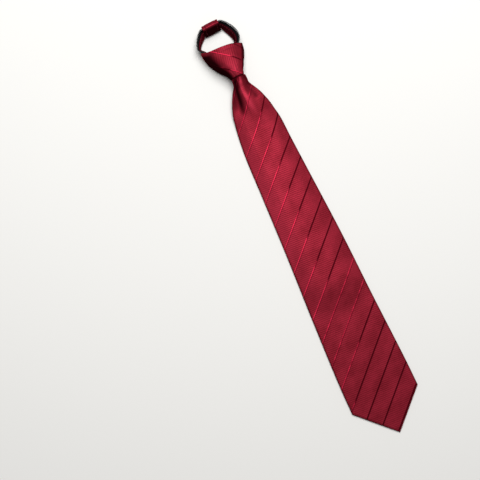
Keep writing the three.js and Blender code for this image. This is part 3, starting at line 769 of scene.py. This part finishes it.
# Running stitches along a line of points. Inward is the way into the cloth at each of them.
def stitchesAlong(line, inward):
    values = stitchValues
    way = wayAlong(*line.T)
    inward = inward / np.linalg.norm(inward, axis=1, keepdims=True)
    depth = np.array([values["sink"], 0, -values["rise"], 0, values["sink"]])[:, None]
    stitches = []
    for start in np.arange(values["length"] / 2, way[-1] - values["length"], values["pitch"]):
        at = start + values["length"] * np.array([0, 0.2, 0.5, 0.8, 1])
        points = np.stack([np.interp(at, way, line[:, k]) for k in range(3)], axis=-1)
        into = np.stack([np.interp(at, way, inward[:, k]) for k in range(3)], axis=-1)
        stitch = points + into * depth
        stitch[:, 2] = np.maximum(stitch[:, 2], values["radius"])  # none goes into the floor
        stitches.append(stitch)
    return stitches


def makeStitches(name, lines):
    return makeThread(name, lines, stitchValues["radius"], stitchValues["sides"])


facingValues = {
    "trim": 0.3,  # mm that it ends short of the tape's edge
    "tuck": 0.15,  # and that it lies nearer to the tape, between its stitches
    "turnedIn": 1.1,  # along both edges
    "pucker": 0.12,
    "depth": {"left": 0.62, "right": 0.84},  # how dark each is: the right one faces away from the light
}
strapCount = int(strapValues["length"] / strapValues["step"])
satinReach = tapeReach - facingValues["trim"]
halfTape = strapValues["tapeThickness"] / 2
for label, side in (("left", -1), ("right", 1)):
    path = strapPath(side, strapCount)
    tape = makeStrip("zip_tape_cloth_" + label, path, tapeStart, tapeReach, halfTape, -halfTape, 10)
    dress(tape, zipTape, "zip_tape", "zip_tape_" + label)
    facing = makeStrip(
        "satin_facing_" + label, path, satinStart, satinReach, satinUpper + facingValues["tuck"], satinLower,
        12, wave=facingValues["pucker"], depth=facingValues["depth"][label],
    )
    dress(facing, plainSatin, "plain_satin", "satin_strip_" + label)
    coil = makeCoil("coil_teeth_" + label, path)
    dress(coil, coilNylon, "zip_coil", "zip_coil_" + label)
    lines = []
    for run in (satinStart + stitchValues["fromEdge"], satinReach - stitchValues["fromEdge"]):
        outer, inner = [strapPoints(path, np.array([run]), off)[:, 0] for off in (satinLower, satinUpper)]
        lines += stitchesAlong(outer, inner - outer)
    dress(makeStitches("facing_stitches_" + label, lines), satinThread, "plain_satin")
print("straps made")


# A rounded box outline, for the sleeve's section
def roundedBox(near, far, inner, outer, radius, steps):
    corners = [
        (far - radius, inner + radius, -90), (far - radius, outer - radius, 0),
        (near + radius, outer - radius, 90), (near + radius, inner + radius, 180),
    ]
    runs, offs = [], []
    for k, (run, off, start) in enumerate(corners):
        turns = np.radians(np.linspace(start, start + 90, steps))
        runs += list(run + radius * np.cos(turns))
        offs += list(off + radius * np.sin(turns))
        nextRun, nextOff, nextStart = corners[(k + 1) % 4]
        toRun = nextRun + radius * math.cos(math.radians(nextStart))
        toOff = nextOff + radius * math.sin(math.radians(nextStart))
        between = np.linspace(0, 1, 9)[1:-1]
        runs += list(mix(runs[-1], toRun, between))
        offs += list(mix(offs[-1], toOff, between))
    return np.array(runs + runs[:1]), np.array(offs + offs[:1])


# The sleeve's outline at a share of its half length. Extra is the height over its inner face.
def sleeveRing(share, extra, past=0.0):
    values = sleeveValues
    place = share * (values["length"] - values["wall"]) / 2 + past
    station = loopStation(math.degrees(sleeveMiddle + math.atan(place / sleeveLine)))
    near, far, inner, outer = sleeveBox(extra)
    radius = values["cornerRadius"] * mix(values["innerCorner"], 1, extra / values["wall"])
    runs, offs = roundedBox(near, far, inner, outer, radius, 6)
    if extra > 0.9 * values["wall"]:
        fromEnd = (1 - abs(share)) * values["length"] / 2
        hem = bell(fromEnd - values["hem"], values["hemWidth"])
        puffed = smooth(fromEnd, values["hemWidth"], values["hem"] + values["puffReach"])
        swell = values["puff"] * (puffed - 0.9 * hem)
        runMiddle, offMiddle = (near + far) / 2, (inner + outer) / 2
        length = np.hypot(runs - runMiddle, offs - offMiddle)
        runs = runs + swell * (runs - runMiddle) / length
        offs = offs + swell * (offs - offMiddle) / length
    out, up = sectionPoint(station["lean"], 0, runs, offs)
    x = station["x"] + math.sin(sleeveMiddle) * out
    y = station["y"] + math.cos(sleeveMiddle) * out
    # The inner side lies in the loop's own shade, below the bright upper fold.
    depth = values["shade"] * smooth(runs, near + values["shadeFrom"], near + values["shadeTo"])
    depth = depth * smooth(offs, (inner + outer) / 2, inner)
    return np.stack([x, y, station["z"] + up], axis=-1), wayAlong(runs, offs), depth


# A tube's rings, down one side of its wall and back up the other, with a round lip at both ends. Each has its
# share of the length, its inset from the side that comes first, and how far it stands past the end.
def tubeRings(first, second, wall, lipSteps):
    rings = [(share, 0.0, 0.0) for share in first]
    for end, way, far in ((first[-1], 1, second), (first[0], -1, first[:1])):
        for t in np.linspace(0, math.pi, lipSteps)[1:-1]:
            rings.append((end, wall / 2 * (1 - way * math.cos(t)), way * wall / 2 * math.sin(t)))
        rings += [(share, wall if way > 0 else 0.0, 0.0) for share in far]
    return rings


def makeSleeve():
    wall = sleeveValues["wall"]
    outside = np.linspace(-1, 1, 41)
    rings = [(share, wall - inset, past) for share, inset, past in tubeRings(outside, outside[::-4], wall, 7)]
    points, cloth, depths = [], [], []
    for k, (share, extra, past) in enumerate(rings):
        ring, around, depth = sleeveRing(share, extra, past)
        points.append(ring)
        cloth.append(np.stack([around, np.full_like(around, k / 2)], axis=-1))
        depths.append(depth)
    grid = {"points": np.array(points), "map": np.array(cloth), "depth": np.array(depths)}
    return makePiece("end_sleeve_cloth", [grid])


def makeHemStitches():
    values = sleeveValues
    lines = []
    for side in (-1, 1):
        share = side * (1 - 2 * values["hem"] / values["length"])
        outer, inner = sleeveRing(share, values["wall"])[0], sleeveRing(share, 0)[0]
        lines += stitchesAlong(outer, inner - outer)
    return makeStitches("sleeve_stitches", lines)


sleeve = makeSleeve()
dress(sleeve, plainSatin, "plain_satin", "end_sleeve")
dress(makeHemStitches(), satinThread, "plain_satin")
print("sleeve made")


# The knot: cloth folded in at its upper and lower edges, hollow inside

# Soft creases that run down into its narrow lower end: the height of each in mm, where it is across the knot
# at the lower edge and how it leans, its width, and the shares of the height where it starts and is full
knotCreases = [
    (-0.45, -0.3, -0.35, 0.09, 0.75, 0.15),
    (-0.35, 0.42, -0.1, 0.08, 0.55, 0.1),
    (0.3, 0.1, 0, 0.2, 0.6, 0.05),
]
knotWaves = [(0.12, 5, 7, 1.0), (0.1, -6, 11, 2.0)]
# Painted shade on the knot's cloth: how dark, and where that starts and is full, first across in shares of
# the half width, then up in shares of the height
everywhere = (-9, -8)
knotShades = [
    (0.95, (-0.38, -0.78), (0.97, 0.87)),  # the left flank
    (0.8, (0.84, 0.98), everywhere),  # the right edge
    (0.85, everywhere, (0.03, 0)),  # where the lower edge meets the blade
    (0.16, (-0.2, 0.4), (0.6, 0.85)),  # the upper right
]
# Where the stripes lose their painted sheen: how much, and where that starts and is full, across and up, in
# mm
knotStripeShades = [(0.75, (2, 7), (12, 16)), (0.7, (-0.5, -4), (16, 12))]


def knotShade(shades, across, up):
    return [dark * smooth(across, *sides) * smooth(up, *heights) for dark, sides, heights in shades]


def knotPoints(share, angle, inset, past=0.0):
    part = knotSection(share)
    across, rise = np.cos(angle), np.sin(angle)
    blunt = np.where(rise < 0, knotValues["backBluntness"], part["bluntness"])
    side = np.sign(across) * np.abs(across) ** (2 / blunt)
    lift = np.abs(rise) ** (2 / blunt)
    front = smooth(rise, 0.05, 0.35)
    belly = knotValues["belly"] * part["crown"]
    toFront = part["crown"] - belly - inset
    toBack = belly - inset
    dent = knotValues["cornerDent"] * smooth(
        share + 0.42 * side, knotValues["cornerPlace"], knotValues["cornerPlace"] + 0.03
    ) * smooth(rise, 0.1, 0.3)
    # The folded edge stands a little proud, and a shallow crease runs below it.
    roll = knotValues["lipRoll"] * (bell(share - 0.985, 0.03) - 0.9 * bell(share - 0.9, 0.025))
    roll = roll * (1 + 2.2 * smooth(-side, 0.45, 0.8))
    creases = sum(
        height * bell(side - at - lean * share, width) * smooth(share, start, full)
        for height, at, lean, width, start, full in knotCreases
    )
    relief = (roll + creases + ripples(knotWaves, side, share)) * front
    x = part["middle"] + (part["half"] - inset) * side
    z = belly + np.where(rise < 0, -toBack, toFront + relief) * lift - dent
    drop = knotValues["backDrop"] * smooth(-rise, -0.1, 0.6)
    height = tieValues["knotHeight"] * (1 + mouthRows(side)["rise"]) - drop
    y = knotBase + share * height + past
    return np.stack(np.broadcast_arrays(x, y, z), axis=-1)


def makeKnot():
    wall = knotValues["wall"]
    rings = np.array(tubeRings(np.linspace(0, 1, 73), np.linspace(1, 0, 37), wall, 8))
    share, inset, past = rings[:, :1], rings[:, 1:2], rings[:, 2:]
    angle = np.linspace(-math.pi / 2, 1.5 * math.pi, 145)
    points = knotPoints(share, angle[None, :], inset, past)
    top = len(angle) // 2
    around = np.array([wayAlong(ring[:, 0], ring[:, 2]) for ring in points])
    sideways = points[:, top:top + 1, 0] - (around - around[:, top:top + 1])
    fall = knotValues["stripeFall"]
    level = points[:, :, 1] - knotBase - knotValues["stripeLine"] + fall * sideways
    across = level / knotValues["stripeStep"]
    along = (sideways - fall * points[:, :, 1]) / knotValues["stripeStep"] / math.hypot(1, fall)
    # Painted sheen: the stripes are drawn dark on the upper right and the lower left.
    lustre = knotValues["lustre"] - sum(knotShade(knotStripeShades, sideways, points[:, :, 1] - knotBase))
    cloth = np.stack([across, along], axis=-1)
    part = knotSection(share)
    sideShare = (points[:, :, 0] - part["middle"]) / part["half"]
    # Painted shade on the flanks, along the edges and in the hollow
    depth = reduce(np.maximum, knotShade(knotShades, sideShare, share))
    depth = np.maximum(depth, knotValues["insideShade"] * (inset > 0.5 * wall))
    # Painted highlight on the belly of the front, carried as depth below 0
    paintedHighlight = knotValues["paintedHighlight"] * bell(share - 0.28, 0.25) * bell(sideShare - 0.05, 0.5)
    depth = depth - (1 - depth) * paintedHighlight
    return makePiece("knot_cloth", [{"points": points, "map": cloth, "lustre": lustre, "depth": depth}])


knot = makeKnot()
dress(knot, stripedSatin, "striped_satin", "knot")
print("knot made")


# The blade: striped satin folded over an interlining, its two folds meeting along the middle of the back

bladeValues = {
    "width": 80,
    "pointAngle": 90,
    "edgeHeight": 1.15,  # of the fold's outermost line over the underside
    "frontRoll": 2.2,  # mm over which the front turns down to the fold
    "backRoll": 1.3,
    "pleatDepth": 5,
    "plugLength": 5,  # of the end that runs up into the knot
    "plugWidth": 8.6,
    "seamDepth": 0.7,
    "seamWidth": 0.9,
    "stripeStart": 3.4,  # mm from the point to the first stripe on the middle line
    "stripeStep": 26.3,
    "stripeDull": -0.1,  # painted sheen of a stripe where it is drawn dark
    "stripeTurnReach": 9,  # mm across, to both sides of where it turns
    "waveHeight": 0.08,  # of the soft unevenness of the pressed cloth
    "gathering": 0.32,  # how much more cloth than width there is under the knot
    "flapHeight": 0.25,  # that the left fold stands over the right one behind
    "area": 0.0258,  # square metres, as its outline is pointed
}
bladeWaves = [(1, 0.071, 0.043, 0.8), (0.8, 0.11, -0.061, 2.2), (0.5, 0.19, 0.12, 0)]
# Painted shade in the blade's folds, at its edges and towards its point, and painted highlight on its crests
bladeShades = {
    "edge": 0.75,
    "beyond": 0.6,  # left of the pleat, in its shade
    "beyondPlaces": (386, 406),  # mm from the point, where that starts and is full
    "point": 0.12,
    "pointPlaces": (190, 80),
    "paintedHighlight": 0.85,
    "crestWidth": 2.6,  # mm
    "crestPlaces": (378, 408),
    "leftSide": 0.36,  # painted highlight where the left side faces the light
    "sideMiddle": 290,  # mm from the point to the brightest place there
    "sideLength": 85,
    "darkest": 0.95,
}
valleyFull = 402  # mm from the point, where both valleys have their whole depth
valleyEnd = (429, 424)  # and where they run out again under the knot
pointLength = bladeValues["width"] / 2 / math.tan(math.radians(bladeValues["pointAngle"] / 2))
bladeRows = readTable("left right valleyLeft dipLeft valleyRight dipRight lift", [
    (0.0, 0.99, 0.99, 0.5, 0, 0.5, 0, 0),
    (0.07, 0.985, 0.98, 0.5, 0, 0.5, 0, 0),
    (0.28, 0.9, 0.905, 0.48, 0, 0.48, 0, 0),
    (0.48, 0.795, 0.85, 0.46, 0, 0.46, 0, 0),
    (0.68, 0.715, 0.75, 0.48, 0, 0.48, 0, 0),
    (0.79, 0.672, 0.695, 0.5, 0, 0.5, 0, 0),
    (0.85, 0.612, 0.67, 0.52, 0, 0.5, 0, 0.15),
    (0.886, 0.556, 0.61, 0.52, 0.12, 0.5, 0, 0.35),
    (0.904, 0.522, 0.575, 0.52, 0.4, 0.5, 0.06, 0.5),
    (0.92, 0.472, 0.525, 0.52, 0.8, 0.46, 0.18, 0.6),
    (0.937, 0.404, 0.466, 0.53, 1, 0.45, 0.36, 0.66),
    (0.954, 0.322, 0.385, 0.54, 1, 0.46, 0.52, 0.7),
    (0.965, 0.262, 0.322, 0.56, 0.9, 0.5, 0.56, 0.76),
    (0.976, 0.185, 0.27, 0.6, 0.6, 0.56, 0.5, 0.85),
    (0.985, 0.155, 0.272, 0.62, 0.4, 0.6, 0.44, 0.9),
    (1.0, 0.145, 0.262, 0.62, 0.2, 0.6, 0.3, 0.94),
])
# Small gathers that start at the knot: where each starts and ends across the blade, its length, depth and
# width, all in mm
gathers = [
    (-3.6, -9.5, 38, 0.8, 1.5), (-1.2, -3.6, 17, 0.5, 1.0), (5.2, 9.0, 26, 0.7, 1.6),
    (7.6, 15.0, 30, 0.6, 1.3), (2.9, 4.4, 15, -0.4, 1.0),
]
# The valleys on both sides of the pleat: the line of each across the tie, where it starts, its depth and
# width, all in mm, and how dark the painted shade on its left is
valleys = [
    (
        readTable("x", [
            (382, -11), (389.4, -9.3), (399.3, -7.2), (408, -5.9), (414, -5.1), (419, -3.9), (428, -2.6),
        ]),
        380, 1.5, 3.2, bladeShades["beyond"],
    ),
    (
        readTable("x", [(396, 12.5), (403.7, 11.4), (406.5, 10.4), (414.7, 8.9), (424.6, 8.3), (428, 8.2)]),
        397, 0.7, 2.4, 0,
    ),
]
# The crest between the valleys, which gets a painted highlight
crestLine = readTable("x", [(378, 4.5), (402, 1.9), (407.4, 1), (412.3, -0.8), (417.3, 0.2), (426, 4)])
# Where the stripes are painted dark, across the tie in mm, and how bright their painted sheen is left of it.
# Rows go by the place where a stripe crosses the middle line.
stripeTurn = readTable("x shine", [
    (36, -60, 0.0), (60, -36, 0.2), (86, -24, 0.4), (100, -4, 0.5), (112, 4, 0.5), (126, 26, 0.45),
    (138, 42, 0.45), (164, 42, 0.5), (177, 12, 0.6), (189, -3, 0.66), (213, -5, 0.7), (240, -1, 0.72),
    (263, 0, 0.75), (292, 1, 0.75), (313, 3, 0.75), (344, 6, 0.72), (374, 10, 0.65), (400, 24, 0.55),
    (470, 40, 0.5),
])
farBelow = -1e3


# Top of the closed zip below the blade, beside the middle line
def zipCover(x, place):
    if place < tailEnd - gap:
        return np.full_like(x, farBelow)
    station = zipStation(place, 1)
    away = np.abs(x - station["x"] + coilSide) - coilSide
    out, up = sectionPoint(station["lean"], station["curl"], np.linspace(0, tapeReach, 60), halfTape)
    order = np.argsort(out)
    highest = np.maximum.accumulate(up[order][::-1])[::-1]
    cover = np.interp(away, out[order], highest, right=farBelow)
    cover = np.where(away < coilRadius + gap, np.maximum(cover, coilRadius), cover)
    return station["z"] + cover


def bladeLift(place):
    fade = float(smooth(place, tailEnd - 45, tailEnd - 1))
    flat = place < knotBase - neckLength
    top = zipFlatTop if flat else zipStation(min(place, knotBase), 1)["z"] + coilRadius
    return (top + tieValues["zipRoom"]) * fade


# Edges, middle, and the height of the underside at each place across, for one section of the blade
def bladeSection(place):
    at = max(0, (place - pointLength) / (knotBase - pointLength))
    row = {name: float(value) for name, value in bladeRows(at).items()}
    half = bladeValues["width"] / 2
    pointed = place * math.tan(math.radians(bladeValues["pointAngle"] / 2))
    middle = float(middleLine(place))
    left, right = -min(pointed, half * row["left"]), min(pointed, half * row["right"])
    ridge = bladeLift(place)
    dip = bladeValues["pleatDepth"]
    profile = None
    if right - left > 1:
        profile = readTable("height", [
            (left, ridge * row["lift"]),
            (mix(middle, left, row["valleyLeft"]), ridge - dip * row["dipLeft"]),
            (middle, ridge),
            (mix(middle, right, row["valleyRight"]), ridge - dip * row["dipRight"]),
            (right, ridge * row["lift"]),
        ])

    def under(x):
        height = profile(x)["height"] if profile else np.zeros_like(x)
        height = np.maximum(height, 0)
        cover = zipCover(x, place) + tieValues["zipRoom"]
        softness = 0.5 * float(smooth(place, tailEnd - 30, tailEnd))
        return (height + cover + np.sqrt((height - cover) ** 2 + softness**2)) / 2

    return left, right, middle, under


# The same for the short end that runs up into the knot
def plugSection(place):
    middle = float(middleLine(place))
    half = bladeValues["plugWidth"] / 2

    def under(x):
        return np.full_like(x, plugBase)

    return middle - half, middle + half, middle, under


# The folds in the blade's front, in mm, and the painted shade there, or the painted highlight below 0
def bladeFolds(place, x, fromEdge):
    shades = bladeShades
    folds = np.zeros_like(x)
    for start, end, length, sink, spanWide in gathers:
        share = (knotBase - place) / length
        if 0 <= share <= 1:
            wide = spanWide * (1 + 0.8 * share)
            fade = math.sin(math.pi * (0.25 + 0.75 * share)) ** 0.5
            folds -= sink * bell(x - mix(start, end, share), wide) * fade
    # Painted shade along the folded edges
    depth = shades["edge"] * (1 - smooth(fromEdge, 0.1, 1.2))
    for line, start, sink, wide, beyond in valleys:
        fromLine = x - float(line(place)["x"])
        lies = bell(fromLine, wide) * float(smooth(place, start, valleyFull) * smooth(place, *valleyEnd))
        folds -= sink * lies
        # Painted shade down in each valley, and on the shaded side beyond it
        depth = np.maximum(depth, (0.2 + 0.5 * sink) * lies**0.8)
        beyond = beyond * float(smooth(place, *shades["beyondPlaces"]))
        depth = np.maximum(depth, beyond * smooth(fromLine, -2, -6))
    # Painted shade, darker towards the point
    depth = depth + shades["point"] * float(smooth(place, *shades["pointPlaces"]))
    # Painted highlight along the crest between the valleys, and on the left side where it faces the light
    paintedHighlight = shades["paintedHighlight"] * bell(x - float(crestLine(place)["x"]), shades["crestWidth"])
    paintedHighlight = paintedHighlight * float(smooth(place, *shades["crestPlaces"]))
    sideAway = place - shades["sideMiddle"]
    paintedHighlight = paintedHighlight + shades["leftSide"] * smooth(-x, 0, 26) * float(bell(sideAway, shades["sideLength"]))
    depth = depth - (1 - depth) * paintedHighlight
    return folds, np.minimum(depth, shades["darkest"])


# How far a round fold has risen, from 0 to 1, at each distance from its edge
def foldRise(fromEdge, roll):
    away = 1 - np.clip(fromEdge / max(roll, 1e-6), 0, 1)
    return np.sqrt(np.clip(1 - away**2, 0, 1))


def makeBlade():
    values = bladeValues
    frontRows, backRows, frontMaps, backMaps, paintedSheens, depths = [], [], [], [], [], []
    knotEdge = knotBase - gap
    # Sections stand closer at the point, at its corners and in the gathered part.
    spans = [
        (1, pointLength - 2, 34), (pointLength - 1.5, pointLength + 3, 8),
        (pointLength + 5, knotBase - 62, 140), (knotBase - 61, knotEdge - 0.8, 76),
    ]
    places = np.concatenate([[0, 0.2, 0.5], *(np.linspace(*span) for span in spans)])
    rollSteps = 1 - np.cos(np.linspace(0, math.pi / 2, 9))
    flatSteps = np.linspace(0, 1, 62)[1:-1]
    for place in [*places, knotEdge + 0.4, knotBase + 1.5, knotBase + values["plugLength"]]:
        section = bladeSection if place <= knotEdge else plugSection
        left, right, middle, under = section(place)
        # The point's folds cross its sections aslant, so they look wider there.
        slanted = math.sqrt(2) if place < pointLength else 1
        slanted = mix(slanted, 1, float(smooth(place, pointLength - 4, pointLength + 1)))
        width = right - left
        roll, backRoll = [min(values[key] * slanted, 0.3 * width) for key in ("frontRoll", "backRoll")]
        x = np.concatenate([
            left + roll * rollSteps,
            mix(left + roll, right - roll, flatSteps),
            right - roll * rollSteps[::-1],
        ])
        fromEdge = np.minimum(x - left, right - x)
        # The point is thin at its very tip, and the middle is a little fuller than the pressed edges.
        thickness = mix(values["edgeHeight"] + 0.5, tieValues["bladeThickness"], float(smooth(place, 0, 7)))
        body = thickness - values["edgeHeight"]
        middleLow = under(x) + values["edgeHeight"]
        inner = smooth(fromEdge, values["frontRoll"], 16) * float(smooth(place, 2, 30))
        waves = values["waveHeight"] * inner * ripples(bladeWaves, x, place)
        folds, depth = bladeFolds(place, x, fromEdge)
        folds *= smooth(fromEdge, 0.4, 2.5) * float(place < knotEdge)
        front = middleLow + body * foldRise(fromEdge, roll) + waves + folds
        seamDistance = np.abs(x - middle) if place > pointLength else np.abs(x)
        groove = values["seamDepth"] * bell(seamDistance, max(min(values["seamWidth"], 0.05 * width), 0.05))
        flap = values["flapHeight"] * smooth(x - middle, -0.6, 0.6)  # the right fold lies under the left one
        back = middleLow - values["edgeHeight"] * foldRise(fromEdge, backRoll)
        back = back + (groove + flap) * smooth(fromEdge, 0.5, 4)
        frontRows.append(np.stack([x, np.full_like(x, place), front], axis=-1))
        backRows.append(np.stack([x, np.full_like(x, place), back], axis=-1))
        # The cloth is gathered here: more of it lies across the same width, so the stripes stand steeper.
        gathered = 1 + values["gathering"] * float(smooth(place, knotBase - 1.5 * neckLength, knotBase - 15))
        lay = gathered * x
        # Behind, the cloth comes back from the folds. The point's left fold crosses the stripes squarely.
        leftBehind = lay if place < pointLength else 2 * gathered * left - lay
        behind = np.where(x < middle, leftBehind, 2 * gathered * right - lay)
        for clothMaps, sideways in ((frontMaps, lay), (backMaps, behind)):
            across = (place - sideways - values["stripeStart"]) / values["stripeStep"]
            along = (place + sideways) / values["stripeStep"]
            clothMaps.append(np.stack([across, along], axis=-1))
        # Painted sheen: the stripes are drawn bright on the upper and left part and dark towards the right
        # and the point.
        turned = stripeTurn(place - lay)
        reach = values["stripeTurnReach"]
        paintedSheens.append(mix(values["stripeDull"], turned["shine"], smooth(turned["x"] - x, -reach, reach)))
        depths.append(depth)
    front = {"points": np.array(frontRows), "map": np.array(frontMaps), "lustre": np.array(paintedSheens)}
    front["depth"] = np.array(depths)
    back = {"points": np.array(backRows), "map": np.array(backMaps), "lustre": np.array(paintedSheens)}
    ends = []
    for row in (0, -1):
        points = np.stack([front["points"][row], back["points"][row]])
        maps = np.stack([front["map"][row], back["map"][row]])
        ends.append({"points": points, "map": maps})
    return makePiece("blade_cloth", [front, back, *ends])


# Slip stitches in the groove of the back seam, as far as it can be seen below the end of the zip
def makeSeamStitches():
    lines = []
    for place in np.arange(pointLength + 8, tailEnd - 6, 6):
        middle, under = bladeSection(place)[2:]
        spots = middle + np.array([-0.55, 0, 0.55])
        height = under(spots) + bladeValues["seamDepth"] - 0.3
        lines.append(np.stack([spots, place + np.array([-0.8, 0, 0.8]), height], axis=-1))
    return makeStitches("seam_stitches", lines)


blade = makeBlade()
dress(blade, stripedSatin, "striped_satin", "blade")
dress(makeSeamStitches(), satinThread, "striped_satin")
print("blade made")


# The slider keeps the frame's own shape and gets its enamel.
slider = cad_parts["zip_slider"]
slider.data.materials.clear()
slider.data.materials.append(sliderEnamel)


# Studio: a pale floor, one large soft light above the loop's end, a weak even fill, and the camera

studioValues = {
    "cameraPlace": (-0.0706, tipPlace + 0.26574, 1.25),  # metres
    "cameraTurn": -24.93,  # degrees, which sets the tie aslant in the picture
    "pictureWidth": 0.528,  # metres of floor across the picture
    "sensorWidth": 36,
    "floorSize": 30,
    "floorDrop": 0.0002,
    "floorColour": "#e4e3e0",
    "floorShader": {"Roughness": 0.9, "Specular IOR Level": 0.2},
    "keyPlace": (0.32, 0.74, 1.55),
    "keyAim": (0, 0.3, 0),
    "keySize": 1.15,
    "keyPower": 38.5,
    "fill": 0.2,
}


def makeStudio():
    values = studioValues
    bpy.ops.object.select_all(action="DESELECT")
    bpy.ops.mesh.primitive_plane_add(size=values["floorSize"], location=(0, 0, -values["floorDrop"]))
    floor = bpy.context.object
    floor.name = "floor"
    material, add = newMaterial("matt_paper")
    grain = add("TexNoise", {0: add("TexCoord", out="Object"), 2: 900.0, 3: 3.0})
    bump = add("Bump", {"Strength": 0.05, "Distance": 0.0001, "Height": grain})
    finishMaterial(add, toLinear(values["floorColour"]), bump, values["floorShader"])
    floor.data.materials.append(material)
    camera = bpy.data.objects.new("camera", bpy.data.cameras.new("camera"))
    bpy.context.scene.collection.objects.link(camera)
    camera.location = values["cameraPlace"]
    camera.rotation_euler = (0, 0, math.radians(values["cameraTurn"]))
    camera.data.sensor_width = values["sensorWidth"]
    camera.data.lens = values["sensorWidth"] * values["cameraPlace"][2] / values["pictureWidth"]
    bpy.context.scene.camera = camera
    light = bpy.data.lights.new("softbox", "AREA")
    light.shape = "SQUARE"
    light.size = values["keySize"]
    light.energy = values["keyPower"]
    key = bpy.data.objects.new("softbox", light)
    bpy.context.scene.collection.objects.link(key)
    key.location = values["keyPlace"]
    aim = Vector(values["keyAim"]) - Vector(values["keyPlace"])
    key.rotation_euler = aim.to_track_quat("-Z", "Y").to_euler()
    world = bpy.data.worlds.new("studio")
    bpy.context.scene.world = world
    world.use_nodes = True
    background = world.node_tree.nodes["Background"]
    background.inputs[0].default_value = (1, 1, 1, 1)
    background.inputs[1].default_value = values["fill"]
    bpy.context.scene.view_settings.view_transform = "Standard"


makeStudio()
print("studio made")
